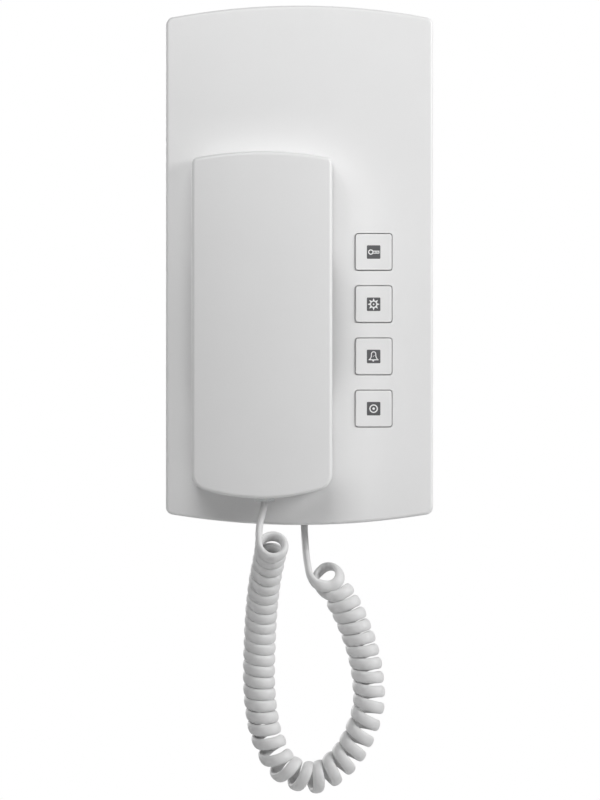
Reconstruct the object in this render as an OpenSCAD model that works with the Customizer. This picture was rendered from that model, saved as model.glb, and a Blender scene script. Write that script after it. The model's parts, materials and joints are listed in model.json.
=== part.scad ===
// Wall-mounted audio intercom: a crowned cover with four keys, a handset that rests in two
// pockets of the cover, and a curly cord from the handset to the foot of the cover.
//
// Every piece but the cord is drawn as seen from the front: x to the right, y up and z out of
// the wall. on_wall() stands it up, so that the wall is the plane y = 0, z points up and the
// front looks along -y. The origin is midway between the two screws of the wall box.

/* [Cover] */
// Width of the cover
body_w = 105; // [100:1:120]
// Height of the cover at its middle
body_h = 204; // [200:1:230]
// Depth of the cover at its side edges
body_d = 22; // [21:0.5:26]
// How far the face bulges out at its middle
face_crown = 2.5; // [1.5:0.1:3.5]
// Rise of the arc along the top edge
top_crown = 5; // [3:0.5:7]
// Drop of the arc along the bottom edge
bottom_crown = 4.5; // [3:0.5:6]
// Radius of the corners in front view
body_corner_r = 3; // [2:0.5:5]
// Thickness of the cover's walls
cover_wall = 2.2; // [1.8:0.1:2.6]
// Gap between the wall and the cover's rear edge
wall_shadow = 0.8; // [0.4:0.1:1.2]

/* [Base plate] */
// Thickness of the base plate
base_t = 2.5; // [2:0.1:3.2]
// Height of the rim above the wall
rim_h = 8; // [6:0.5:10]
// Thickness of the rim
rim_t = 1.6; // [1.2:0.1:2]
// Spacing of the two holes for a wall box
box_pitch = 60; // [56:1:64]
// Spacing of the two holes for wall plugs
plug_pitch = 150; // [146:1:160]
// Radius of the wall screw holes
wall_hole_r = 2.2; // [2:0.1:2.6]
// Width of the cable entry
entry_w = 16; // [12:1:18]
// Height of the cable entry
entry_h = 30; // [20:1:36]

/* [Handset] */
// Width of the handset
handset_w = 55; // [52:1:58]
// Length of the handset
handset_l = 135.7; // [125:0.1:150]
// Room between its foot and the foot of the cover
handset_foot_room = 10.6; // [8:0.1:14]
// How far it stands out of the middle of the cover's face
handset_rise = 22; // [21:0.5:26]
// How far its front bulges out at its middle
handset_crown = 2; // [1:0.1:3]
// Rise of the arc along its top edge
handset_top_crown = 2.8; // [2:0.1:4]
// Drop of the arc along its bottom edge
handset_foot_crown = 5; // [4:0.1:6]
// Radius of its top corners
handset_top_r = 2.5; // [2:0.1:4]
// Radius of its bottom corners
handset_foot_r = 6.5; // [5:0.1:8]
// Thickness of its walls
handset_wall = 2; // [1.6:0.1:2.4]
// Depth of its outer shell
shell_d = 10; // [9:0.1:10.4]
// Length left between each cap and the finger arch in its back
arch_end = 1.35; // [1:0.05:4]
// Height of the finger arch
arch_rise = 8; // [6:0.5:8.5]

/* [Cradle] */
// Width of the ear cap and of the mouth cap
cap_w = 44; // [42:1:46]
// Height of the ear cap
ear_h = 34; // [32:1:35]
// Height of the mouth cap
mouth_h = 28; // [26:1:29]
// Middle of the ear cap, below the top edge of the handset
ear_drop = 24; // [23:0.5:25]
// Middle of the mouth cap, above the foot of the handset
mouth_rise = 24; // [23.5:0.5:25]
// Corner radius of the caps
cap_r = 6; // [4:0.5:8]
// Angle above straight out at which the handset is lifted off
lift_angle = 20; // [0:1:25]
// Slack above a cap when it is lifted so
lift_slack = 1.1; // [0.8:0.1:2]

/* [Keys] */
// Side of a key cap
key_w = 14.2; // [13:0.1:15]
// Corner radius of a key cap
key_r = 1; // [0.6:0.1:2]
// Pitch of the keys
key_pitch = 20.5; // [19:0.1:21.5]
// Middle of the top key, above the middle of the cover
key_top = 5.2; // [2:0.1:8]
// How far a key stands proud of the cover
key_proud = 0.5; // [0.3:0.1:0.9]
// Travel of a key
key_travel = 0.8; // [0.5:0.1:0.9]

/* [Board] */
// Thickness of the board
board_t = 1.6; // [1.2:0.1:2]
// Height of its standoffs above the base plate
standoff_h = 2; // [1.5:0.1:2.5]
// Its left edge, left of the middle of the cover
board_left = 8; // [7.5:0.1:9]
// Room between its right edge and the side of the cover
board_side_room = 6.5; // [5.5:0.5:9]
// Room between its foot and the foot of the cover
board_foot_room = 9.5; // [9:0.1:12]

/* [Hook switch] */
// Middle of the hook plunger, in from the right edge of the ear cap
hook_in = 5.8; // [5:0.1:6.5]
// Middle of the hook plunger, below the middle of the ear cap
hook_drop = 3.8; // [3:0.1:5]
// Radius of the post that the ear cap presses
hook_post_r = 2.5; // [2:0.1:3]
// Travel of the hook plunger
hook_travel = 2.8; // [2:0.1:2.8]
// Diameter of the spring wire
spring_wire = 0.5; // [0.4:0.05:0.55]

/* [Ringer] */
// Room between the ringer and the upper wall screw
ringer_screw_room = 8; // [7.5:0.5:12]
// Room between the ringer and the side of the cover
ringer_side_room = 8.5; // [7:0.5:12]
// Room between the ringer and the top of the cover
ringer_top_room = 7; // [6.5:0.5:9]

/* [Plugs and jacks] */
// Width of a modular plug
plug_w = 7.7; // [7.4:0.1:7.9]
// Height of a modular plug
plug_h = 6.6; // [6.3:0.1:6.8]
// Length of a modular plug
plug_l = 11.7; // [11:0.1:12]
// How far the handset's plug stands out of its opening
plug_proud = 1.2; // [0.8:0.1:1.5]
// How far the base's plug is sunk into the foot of the cover
plug_sunk = 0.3; // [0.1:0.1:0.5]
// Width of a jack
jack_w = 11; // [10.5:0.1:11.5]
// Height of a jack
jack_h = 10.4; // [10:0.1:10.8]
// Length of a jack
jack_l = 12; // [11.5:0.1:12.4]
// Middle of the base jack, right of the middle of the cover
base_jack_x = 1.9; // [1.5:0.1:2.3]
// Middle of the handset jack, right of the middle of the handset
handset_jack_x = 1; // [0:0.1:2]
// Distance from the handset's front to the middle of its jack
handset_jack_in = 9.5; // [9.2:0.1:10]

/* [Cord] */
// Width of the flat cord
cord_w = 3.7; // [3.4:0.1:3.8]
// Thickness of the flat cord
cord_t = 2.4; // [2:0.1:2.5]
// Radius of the curls at the middle of the cord
curl_r = 5; // [4.6:0.1:5.2]

/* [Fits] */
// Gap around a key in the cover
key_gap = 0.3; // [0.2:0.05:0.4]
// Gap between a cap and the sides of its pocket
pocket_gap = 0.6; // [0.4:0.1:0.8]
// Gap between the handset and the face that it rests on
rest_gap = 0.5; // [0.3:0.1:0.7]
// Gap between the rim and the cover
rim_gap = 0.3; // [0.2:0.05:0.4]
// Running clearance of a plunger in its bore
bore_gap = 0.08; // [0.05:0.01:0.1]
// Gap around a plug
plug_gap = 0.2; // [0.1:0.05:0.3]
// Seat clearance between parts that touch in use
seat_gap = 0.15; // [0.1:0.05:0.2]

/* [Hidden] */

// Colours, as the photo shows them or as such pieces usually are
white_plastic = [0.93, 0.93, 0.92];
cord_white = [0.9, 0.9, 0.9];
board_green = [0.12, 0.38, 0.22];
dark_plastic = [0.16, 0.16, 0.17];
bright_steel = [0.74, 0.75, 0.77];
clear_plastic = [0.8, 0.84, 0.86];

// Facets of a round piece, of the wide shallow crowns, and of an outline's corner and long arc
round_fn = 48;
crown_fn = 360;
corner_steps = 6;
arc_steps = 24;
// Overrun of every cut past the face that it opens
over = 1;

// Heights above the wall, and places in the front view
board_back = base_t + standoff_h;
board_face = board_back + board_t;
face_r = arc_radius(body_w, face_crown);
face_mid = body_d + face_crown - face_r;
cover_top = body_h / 2;
cover_foot = -body_h / 2;
cover_foot_in = cover_foot + cover_wall;
// Shares of the width that the handset and the keys leave: at the left and between them
room_shares = [0.288, 0.257];
free_w = body_w - handset_w - key_w;
handset_x = room_shares[0] * free_w + (handset_w - body_w) / 2;
key_x = handset_x + (handset_w + key_w) / 2 + room_shares[1] * free_w;
handset_foot = handset_foot_room + cover_foot;
handset_top = handset_foot + handset_l;
front_r = arc_radius(handset_w, handset_crown);
handset_front = body_d + face_crown + handset_rise;
front_mid = handset_front - front_r;
split = handset_front - shell_d;
ear_y = handset_top - ear_drop;
mouth_y = handset_foot + mouth_rise;
cradle_face = face_depth(handset_x);

// Hook switch: its arm rests over the switch while the ear cap holds the plunger in
hook_x = handset_x + cap_w / 2 - hook_in;
hook_y = ear_y - hook_drop;
hook_gap = 1.35;
hook_flange_t = 1.5;
hook_flange_r = 4;
hook_arm = 9;
hook_stem_r = 1.8;
hook_stem_l = 3.6;
hook_pin_r = 1.5;
hook_pin_l = 2.5;
hook_switch_w = 6;
hook_switch_h = 3.6;
hook_flange_back = board_face + hook_switch_h + hook_gap;
spring_r = 2.7;
spring_turns = 4;

// Cradle pockets, and the grip between the caps
floor_t = 1.8;
pocket_back = hook_flange_back + hook_flange_t + hook_travel + seat_gap;
pocket_floor = pocket_back + floor_t;
cap_face = pocket_floor + pocket_gap;
pocket_w = cap_w + 2 * pocket_gap;
pocket_r = cap_r + pocket_gap;
lift_room = (cradle_face - cap_face) * tan(lift_angle) + lift_slack;
grip_back = cradle_face + rest_gap;
arch_low = mouth_y + mouth_h / 2 + arch_end;
arch_high = ear_y - ear_h / 2 - arch_end;
arch_y = (arch_low + arch_high) / 2;
arch_r = arc_radius(arch_high - arch_low, arch_rise);
arch_mid = grip_back + arch_rise - arch_r;

// Keys
KEYS = ["door", "light", "call", "aux"];
key_lip = 1;
key_flange_t = 1.4;
key_skin = 1.5;
key_stem_r = 2;
switch_w = 6;
switch_h = 3.8;
plunger_r = 1.7;
plunger_l = 3.2;
plunger_top = board_face + switch_h + 1.5 * key_travel;
dome_r = 1.6;
dome_t = 0.15;
switch_floor = 0.3;
flange_top = face_depth(key_x + key_w / 2 + key_lip) - cover_wall - seat_gap;
key_hole_w = key_w + 2 * key_gap;

// Ringer
ringer_r = (body_w / 2 - ringer_screw_room - ringer_side_room) / 2;
ringer_x = ringer_screw_room + ringer_r;
ringer_y = cover_top - ringer_top_room - ringer_r;
magnet_r = 9;
magnet_h = 4.5;
basket_h = 6;
basket_wall = 1;
basket_foot = base_t + magnet_h;
cone_t = 0.6;
cone_depth = 3.2;
ringer_seat_t = 1.5;
ringer_seat_rise = 2.5;
ringer_seat_h = basket_foot + ringer_seat_rise;
slots = 6;
slot_pitch = 3.4;
sound_slot_w = 1.6;
sound_slot_d = 10;
sound_slot_rise = 6;

// Board and what stands on it
board_gap = 0.5;
board_foot = cover_foot + board_foot_room;
board_ringer_gap = 1.35;
board_top = ringer_y - ringer_r - seat_gap - ringer_seat_t - board_ringer_gap;
board_w = board_left + body_w / 2 - board_side_room;
board_h = board_top - board_foot;
access_r = 4.5;
board_hole_r = 1.4;
standoff_r = 3;
board_screw_shares = [[0.074, 0.965], [0.92, 0.965], [0.93, 0.05], [0.08, 0.2]];
chip_shares = [[0.45, 0.82], [0.5, 0.7], [0.42, 0.57], [0.62, 0.09]];
chip_l = 9;
chip_w = 6.2;
chip_t = 1.8;
resistor_shares = [[0.3, 0.9], [0.3, 0.86], [0.3, 0.82], [0.42, 0.5], [0.42, 0.46], [0.42, 0.36],
    [0.42, 0.32], [0.42, 0.24], [0.56, 0.45], [0.56, 0.36]];
resistor_l = 3.2;
resistor_w = 1.6;
resistor_t = 0.7;
capacitor_shares = [[0.84, 0.88], [0.84, 0.79], [0.62, 0.88]];
capacitor_r = 4;
capacitor_room = 2.7;
capacitor_h = body_d - cover_wall - board_face - capacitor_room;

// Screws
screw_r = 1.3;
screw_head_r = 2.6;
screw_head_t = 1.8;
cover_screw_x = 26;
cover_screw_l = 9;
cover_screw_d = 9;
screw_cup_r = 4.6;
screw_cup_t = 4.6;
screw_lug_w = 8;
screw_lug_h = 9;
handset_screw_share = 0.315;
handset_screw_l = 9;
handset_boss_r = 3.4;
head_gap = 0.3;
slot_w = 0.6;
slot_d = 0.8;

// Terminal block
poles = 5;
pole_pitch = 5;
terminal_w = 8;
terminal_h = 10;
terminal_x = -3;
terminal_drop = 28.8;
terminal_y = hook_y - terminal_drop;
terminal_hole = 2.8;
terminal_screw_r = 1.7;
terminal_screw_l = 5;

// Cover hooks at the top of the rim
latch_w = 9;
latch_d = 2.4;
latch_t = 1;
latch_x = 26;
latch_rise = 3;

// Earpiece and microphone
earpiece_r = 14;
earpiece_t = 7.5;
gasket_t = 0.8;
gasket_w = 3;
seat_ring_t = 1;
seat_ring_h = 5;
grille_hole_r = 1;
grille_ring_r = 5;
grille_holes = 8;
boot_r = 6.6;
boot_t = 7.5;
boot_floor = 1.2;
microphone_r = 4.85;
microphone_t = 5;
mouth_slot_l = 7;
mouth_slot_w = 1.4;
mouth_slot_pitch = 3;
mouth_slots = 3;
jack_rib_t = 1.6;

// Distance from the wall to the cover's face at a place left or right of its middle
function face_depth(x) = face_mid + sqrt(face_r * face_r - x * x);

// Radius of the arc that rises so far above a chord
function arc_radius(chord, rise) = (chord * chord / 4 + rise * rise) / (2 * rise);

// How far that arc falls away at a distance from its middle
function arc_drop(chord, rise, x) =
    let (r = arc_radius(chord, rise)) r - sqrt(r * r - x * x);

// Points of an arc about c
function arc(c, r, from, to, steps) =
    [for (i = [0 : steps]) let (a = from + (to - from) * i / steps) c + r * [cos(a), sin(a)]];

// The upper edge of a crowned panel from right to left: a corner, the wide arc and a corner
function crowned_edge(half_w, top, wide_r, r) =
    let (
        mid = top - wide_r,
        cx = half_w - r,
        cy = mid + sqrt(pow(wide_r - r, 2) - cx * cx),
        turn = atan2(cy - mid, cx)
    )
    concat(
        arc([cx, cy], r, 0, turn, corner_steps),
        arc([0, mid], wide_r, turn, 180 - turn, arc_steps),
        arc([-cx, cy], r, 180 - turn, 180, corner_steps)
    );

// Outline of a panel with an arched top and foot, drawn in by inset
function panel(w, top, foot, top_rise, foot_drop, top_r, foot_r, inset) = concat(
    crowned_edge(w / 2 - inset, top - inset, arc_radius(w, top_rise) - inset, max(top_r - inset, least_r)),
    [for (p = crowned_edge(w / 2 - inset, foot - inset, arc_radius(w, foot_drop) - inset,
        max(foot_r - inset, least_r))) -p]
);
least_r = 0.6;

// Stands a piece that was drawn in front view up on the wall
module on_wall() { rotate([90, 0, 0]) children(); }

module lift(h) { translate([0, 0, h]) children(); }

// A straight prism of the cover's outline between two heights above the wall
module cover_prism(inset, low, high) {
    lift(low) linear_extrude(high - low)
        polygon(panel(body_w, cover_top, -cover_foot, top_crown, bottom_crown,
            body_corner_r, body_corner_r, inset));
}

// The same of the handset's outline
module handset_prism(inset, low, high) {
    translate([handset_x, 0, low]) linear_extrude(high - low)
        polygon(panel(handset_w, handset_top, -handset_foot, handset_top_crown,
            handset_foot_crown, handset_top_r, handset_foot_r, inset));
}

// The wide upright cylinder whose front is the cover's face, grown by a distance
module face_form(grow) {
    lift(face_mid) rotate([90, 0, 0])
        cylinder(r = face_r + grow, h = 2 * body_h, center = true, $fn = crown_fn);
}

// The same for the handset's front
module front_form(grow) {
    translate([handset_x, 0, front_mid]) rotate([90, 0, 0])
        cylinder(r = front_r + grow, h = 2 * body_h, center = true, $fn = crown_fn);
}

// The cross-ways cylinder that leaves the finger arch
module arch_form(grow) {
    translate([handset_x, arch_y, arch_mid]) rotate([0, 90, 0])
        cylinder(r = arch_r + grow, h = 2 * handset_w, center = true, $fn = crown_fn / 2);
}

module rounded_square(w, h, r) {
    square([w - 2 * r, h], center = true);
    square([w, h - 2 * r], center = true);
    for (x = [-1, 1], y = [-1, 1])
        translate([x * (w / 2 - r), y * (h / 2 - r)]) circle(r, $fn = round_fn);
}

// A block with rounded upright edges between two heights
module rounded_block(w, h, r, low, high) {
    lift(low) linear_extrude(high - low) rounded_square(w, h, r);
}

// A plain block between two heights, its middle on the axis
module block(w, h, low, high) {
    lift(low) linear_extrude(high - low) square([w, h], center = true);
}

// A round post or bore between two heights
module post(r, low, high) {
    lift(low) cylinder(r = r, h = high - low, $fn = round_fn);
}

// Places
module at_keys() {
    for (i = [0 : len(KEYS) - 1]) translate([key_x, key_top - i * key_pitch]) children();
}

module at_board_screws() {
    for (s = board_screw_shares) on_board(s) children();
}

module on_board(share) {
    translate([share[0] * board_w - board_left, board_foot + share[1] * board_h]) children();
}

module at_wall_holes() {
    for (y = [-plug_pitch, -box_pitch, box_pitch, plug_pitch] / 2) translate([0, y]) children();
}

module at_ringer() { translate([ringer_x, ringer_y]) children(); }

module at_hook() { translate([hook_x, hook_y]) children(); }

module at_ear() { translate([handset_x, ear_y]) children(); }

module at_mouth() { translate([handset_x, mouth_y]) children(); }

module at_handset_screws() {
    for (s = [-1, 1])
        translate([handset_x, arch_y + s * handset_screw_share * (arch_high - arch_low)]) children();
}

// The cover screw runs up along y through the foot of the cover
cover_screw_seat = cover_foot + arc_drop(body_w, bottom_crown, cover_screw_x) + screw_head_t + head_gap;

module at_cover_screw() {
    translate([cover_screw_x, cover_screw_seat, cover_screw_d]) rotate([-90, 0, 0]) children();
}

// A screw along z: the head ends at height 0 and the shank runs up from there
module screw(length) {
    difference() {
        union() {
            post(screw_head_r, -screw_head_t, 0);
            post(screw_r, 0, length);
        }
        block(2 * screw_head_r, slot_w, -screw_head_t - over, slot_d - screw_head_t);
        block(slot_w, 2 * screw_head_r, -screw_head_t - over, slot_d - screw_head_t);
    }
}

module base_plate() {
    rim_in = cover_wall + rim_gap;
    color(white_plastic) on_wall() difference() {
        union() {
            cover_prism(rim_in, 0, base_t);
            difference() {
                cover_prism(rim_in, 0, rim_h);
                cover_prism(rim_in + rim_t, -over, rim_h + over);
            }
            at_board_screws() post(standoff_r, 0, board_back);
            at_ringer() post(ringer_r + ringer_seat_t + seat_gap, 0, ringer_seat_h);
            for (s = [-1, 1]) latch(s, 0);
            screw_lug(0);
        }
        at_wall_holes() post(wall_hole_r, -over, base_t + over);
        at_board_screws() post(screw_r, base_t / 2, board_back + over);
        at_ringer() post(ringer_r + seat_gap, base_t, ringer_seat_h + over);
        at_ringer() translate([-ringer_r, 0]) block(ringer_r, ringer_r, basket_foot, ringer_seat_h + over);
        translate([-board_left - board_gap - entry_w / 2, 0]) block(entry_w, entry_h, -over, base_t + over);
        at_cover_screw() post(screw_r, 0, cover_screw_l + over);
        translate([base_jack_x, cover_foot])
            block(jack_w + 2 * rim_gap, 4 * cover_wall + 4 * rim_t, board_face - rim_gap, rim_h + over);
        at_cover_screw() post(screw_cup_r + rim_gap, -2 * cover_wall, screw_cup_t - screw_head_t);
    }
}

// A catch on the rim near the top of the cover, or with grow the groove for it
module latch(side, grow) {
    top = cover_top - cover_wall - arc_drop(body_w, top_crown, latch_x);
    translate([side * latch_x, top + latch_t / 2 - rim_t])
        block(latch_w + 2 * grow, latch_t + 2 * rim_t + 2 * grow,
            latch_rise - grow, latch_rise + latch_d + grow);
}

// The lug that the cover screw bites in, or with grow the notch that the board leaves for it
module screw_lug(grow) {
    foot = cover_screw_seat + screw_cup_t - screw_head_t;
    translate([cover_screw_x, foot + screw_lug_h / 2])
        block(screw_lug_w + 2 * grow, screw_lug_h + 2 * grow, 0, cover_screw_d + screw_lug_w / 2);
}

// The way for the plug through the foot of the cover
module base_opening() {
    mid = board_face + jack_h / 2;
    half = plug_h / 2 + plug_gap;
    translate([base_jack_x, cover_foot])
        block(plug_w + 2 * plug_gap, 4 * cover_wall, mid - half, mid + half);
}

module front_cover() {
    color(white_plastic) on_wall() difference() {
        union() {
            difference() {
                intersection() {
                    cover_prism(0, wall_shadow, body_d + face_crown + over);
                    face_form(0);
                }
                intersection() {
                    cover_prism(cover_wall, -over, body_d + face_crown);
                    face_form(-cover_wall);
                }
            }
            intersection() {
                union() {
                    at_ear() tub(ear_h, floor_t, pocket_back, body_d + face_crown);
                    at_mouth() tub(mouth_h, floor_t, pocket_back, body_d + face_crown);
                }
                face_form(0);
            }
            intersection() {
                at_cover_screw() post(screw_cup_r, -screw_head_t - head_gap, screw_cup_t - screw_head_t);
                cover_prism(0, wall_shadow, body_d);
            }
        }
        at_ear() tub(ear_h, 0, pocket_floor, body_d + 2 * face_crown);
        at_mouth() tub(mouth_h, 0, pocket_floor, body_d + 2 * face_crown);
        at_hook() post(hook_post_r + bore_gap, pocket_back - over, pocket_floor + over);
        at_keys() rounded_block(key_hole_w, key_hole_w, key_r + key_gap, flange_top, body_d + 2 * face_crown);
        base_opening();
        at_cover_screw() post(screw_head_r + head_gap, -screw_head_t - bottom_crown, 0);
        at_cover_screw() post(screw_r + head_gap, -over, screw_cup_t);
        for (s = [-1, 1]) latch(s, rim_gap);
        sound_slots();
    }
}

// The outside or, with no wall, the inside of a cradle pocket, deeper above the cap than below
module tub(h, wall, low, high) {
    translate([0, (lift_room - pocket_gap) / 2])
        rounded_block(pocket_w + 2 * wall, h + pocket_gap + lift_room + 2 * wall, pocket_r + wall, low, high);
}

// Slots for the ringer's sound in the right side of the cover
module sound_slots() {
    for (i = [0 : slots - 1])
        translate([body_w / 2, ringer_y + (i - (slots - 1) / 2) * slot_pitch])
            block(4 * cover_wall, sound_slot_w, sound_slot_rise, sound_slot_rise + sound_slot_d);
}

module main_board() {
    color(board_green) on_wall() difference() {
        translate([board_w / 2 - board_left, board_foot + board_h / 2])
            block(board_w, board_h, board_back, board_face);
        at_wall_holes() post(access_r, board_back - over, board_face + over);
        at_board_screws() post(board_hole_r, board_back - over, board_face + over);
        screw_lug(board_gap);
    }
}

module board_parts() {
    color(dark_plastic) on_wall() {
        for (s = chip_shares) on_board(s) block(chip_w, chip_l, board_face, board_face + chip_t);
        for (s = resistor_shares)
            on_board(s) block(resistor_l, resistor_w, board_face, board_face + resistor_t);
    }
}

module capacitors() {
    color(dark_plastic) on_wall()
        for (s = capacitor_shares) on_board(s) post(capacitor_r, board_face, board_face + capacitor_h);
}

module key_switches() {
    color(dark_plastic) on_wall() at_keys() difference() {
        block(switch_w, switch_w, board_face, board_face + switch_h);
        post(plunger_r + bore_gap, board_face + switch_floor, board_face + switch_h + over);
    }
}

// Thin snap domes under the plungers, which push the keys back
module key_domes() {
    foot = board_face + switch_floor;
    rise = plunger_top - plunger_l - foot;
    ball = arc_radius(2 * dome_r, rise);
    color(bright_steel) on_wall() at_keys() intersection() {
        lift(foot + rise - ball) difference() {
            sphere(ball, $fn = round_fn);
            sphere(ball - dome_t, $fn = round_fn);
        }
        post(dome_r, foot, foot + 2 * rise);
    }
}

// A key: cap with a crowned front, flange behind the cover, and stem down to the switch
module key(i) {
    color(white_plastic) on_wall() translate([0, key_top - i * key_pitch]) {
        difference() {
            union() {
                intersection() {
                    translate([key_x, 0])
                        rounded_block(key_w, key_w, key_r,
                            flange_top - key_flange_t, body_d + 2 * face_crown);
                    face_form(key_proud);
                }
                translate([key_x, 0])
                    rounded_block(key_w + 2 * key_lip, key_w + 2 * key_lip, key_r + key_lip,
                        flange_top - key_flange_t, flange_top);
            }
            translate([key_x, 0])
                rounded_block(key_w - 2 * key_skin, key_w - 2 * key_skin, key_r / 2,
                    flange_top - key_flange_t - over, flange_top);
        }
        translate([key_x, 0]) post(key_stem_r, plunger_top, flange_top + key_lip);
    }
}

module plunger(i) {
    color(dark_plastic) on_wall() translate([key_x, key_top - i * key_pitch])
        post(plunger_r, plunger_top - plunger_l, plunger_top);
}

// The piece that the ear cap presses in: post, flange, spring stem and an arm over the switch
module hook_plunger() {
    back = hook_flange_back;
    color(white_plastic) on_wall() at_hook() {
        post(hook_post_r, back + hook_flange_t, cap_face - seat_gap);
        translate([0, -hook_arm / 2])
            rounded_block(2 * hook_flange_r, hook_arm + 2 * hook_flange_r, hook_flange_r * 3 / 4,
                back, back + hook_flange_t);
        post(hook_stem_r, back - hook_stem_l, back);
    }
}

// An open compression spring between the board and the flange
module hook_spring() {
    low = board_face + spring_wire / 2;
    high = hook_flange_back - spring_wire / 2;
    line = [for (i = [0 : spring_turns * curl_steps])
        let (a = 360 * i / curl_steps, t = i / (spring_turns * curl_steps))
        [hook_x + spring_r * cos(a), hook_y + spring_r * sin(a), low + (high - low) * t]];
    thick = [for (p = line) [p.x - hook_x, p.y - hook_y, 0] / spring_r];
    color(bright_steel) on_wall() tube(line, thick, spring_wire, spring_wire, curl_sides);
}

module hook_switch() {
    color(dark_plastic) on_wall() at_hook() translate([0, -hook_arm]) difference() {
        block(hook_switch_w, hook_switch_w, board_face, board_face + hook_switch_h);
        post(hook_pin_r + bore_gap, board_face + switch_floor, board_face + hook_switch_h + over);
    }
}

module hook_switch_pin() {
    color(white_plastic) on_wall() at_hook() translate([0, -hook_arm])
        post(hook_pin_r, hook_flange_back - hook_pin_l, hook_flange_back);
}

module ringer_magnet() {
    color(bright_steel) on_wall() at_ringer() post(magnet_r, base_t, basket_foot);
}

module ringer_basket() {
    color(dark_plastic) on_wall() at_ringer() difference() {
        lift(basket_foot)
            cylinder(r1 = magnet_r + basket_wall, r2 = ringer_r, h = basket_h / 2, $fn = round_fn);
        lift(basket_foot + basket_wall)
            cylinder(r1 = magnet_r, r2 = ringer_r - basket_wall, h = basket_h / 2, $fn = round_fn);
    }
    color(dark_plastic) on_wall() at_ringer() difference() {
        post(ringer_r, basket_foot + basket_h / 2, basket_foot + basket_h);
        post(ringer_r - basket_wall, basket_foot, basket_foot + basket_h + over);
    }
}

// A shallow paper cone, its rim glued to the basket
module ringer_cone() {
    top = basket_foot + basket_h - basket_wall;
    rim = ringer_r - basket_wall;
    color(dark_plastic) on_wall() at_ringer() rotate_extrude($fn = round_fn) polygon([
        [0, top - cone_depth], [magnet_r / 2, top - cone_depth], [rim - cone_t, top - cone_t],
        [rim, top - cone_t], [rim, top], [rim - cone_t, top],
        [magnet_r / 2, top - cone_depth + cone_t], [0, top - cone_depth + cone_t]
    ]);
}

module at_poles() {
    for (i = [0 : poles - 1])
        translate([terminal_x, terminal_y + (i - (poles - 1) / 2) * pole_pitch]) children();
}

module terminal_block() {
    color(board_green) on_wall() difference() {
        translate([terminal_x, terminal_y])
            block(terminal_w, poles * pole_pitch, board_face, board_face + terminal_h);
        at_poles() post(terminal_screw_r + bore_gap, board_face + terminal_h - terminal_screw_l,
            board_face + terminal_h + over);
        at_poles() translate([-terminal_w / 2, 0])
            block(terminal_w, terminal_hole, board_face + terminal_hole / 2,
                board_face + terminal_hole * 3 / 2);
    }
}

module terminal_screws() {
    top = board_face + terminal_h;
    color(bright_steel) on_wall() at_poles() difference() {
        post(terminal_screw_r, top - terminal_screw_l, top - slot_w);
        block(2 * terminal_screw_r, slot_w, top - slot_w - slot_d, top);
    }
}

module board_screws() {
    color(bright_steel) on_wall() at_board_screws() lift(board_face)
        mirror([0, 0, 1]) screw(board_face - base_t);
}

module cover_screw() {
    color(bright_steel) on_wall() at_cover_screw() screw(cover_screw_l);
}

// Depth of a jack's opening: the base's plug, sunk behind the cover's foot, ends short of its bottom
jack_reach = plug_sunk + plug_l - cover_wall;

// A modular jack that opens downwards: y runs up from its opening
module jack() {
    difference() {
        translate([-jack_w / 2, 0, -jack_h / 2]) cube([jack_w, jack_l, jack_h]);
        translate([-plug_w / 2 - plug_gap, -over, -plug_h / 2 - plug_gap])
            cube([plug_w + 2 * plug_gap, over + jack_reach, plug_h + 2 * plug_gap]);
    }
}

// A modular plug: y runs up from its rear face, where the cord goes in
module plug() {
    contact_w = plug_w / 16;
    difference() {
        translate([-plug_w / 2, 0, -plug_h / 2]) cube([plug_w, plug_l, plug_h]);
        for (i = [0 : 3])
            translate([(i - 3 / 2) * 2 * contact_w - contact_w / 2, plug_l * 2 / 3, plug_h / 4])
                cube([contact_w, plug_l, plug_h]);
    }
}

module base_jack() {
    color(dark_plastic) on_wall()
        translate([base_jack_x, cover_foot_in + seat_gap, board_face + jack_h / 2]) jack();
}

module base_plug() {
    color(clear_plastic) on_wall()
        translate([base_jack_x, cover_foot + plug_sunk, board_face + jack_h / 2]) plug();
}

module at_handset_jack() {
    translate([handset_x + handset_jack_x, handset_foot, handset_jack_d]) children();
}

// Depth of the jack's middle, and how high its mouth lies in the handset, clear of the foot's arc
handset_jack_d = handset_front - handset_jack_in;
handset_jack_up = handset_wall + seat_gap
    + arc_drop(handset_w, handset_foot_crown, handset_jack_x + jack_w / 2);

module handset_jack() {
    color(dark_plastic) on_wall() at_handset_jack() translate([0, handset_jack_up, 0]) jack();
}

module handset_plug() {
    color(clear_plastic) on_wall() at_handset_jack() translate([0, -plug_proud, 0]) plug();
}

// The way for the plug through the foot of the handset
module handset_opening() {
    at_handset_jack() translate([-plug_w / 2 - plug_gap, -over, -plug_h / 2 - plug_gap])
        cube([plug_w + 2 * plug_gap, handset_wall + 2 * over, plug_h + 2 * plug_gap]);
}

module handset_shell() {
    color(white_plastic) on_wall() difference() {
        union() {
            difference() {
                intersection() {
                    handset_prism(0, split, handset_front + over);
                    front_form(0);
                }
                intersection() {
                    handset_prism(handset_wall, split - over, handset_front);
                    front_form(-handset_wall);
                }
            }
            intersection() {
                at_handset_screws() post(handset_boss_r, split, handset_front);
                front_form(-handset_wall / 2);
            }
        }
        at_handset_screws() post(screw_r, split - over, split + handset_screw_l - handset_wall);
        handset_opening();
    }
}

// The height at which the handset screws' heads are seated
handset_seat = split - handset_wall - head_gap;

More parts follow.
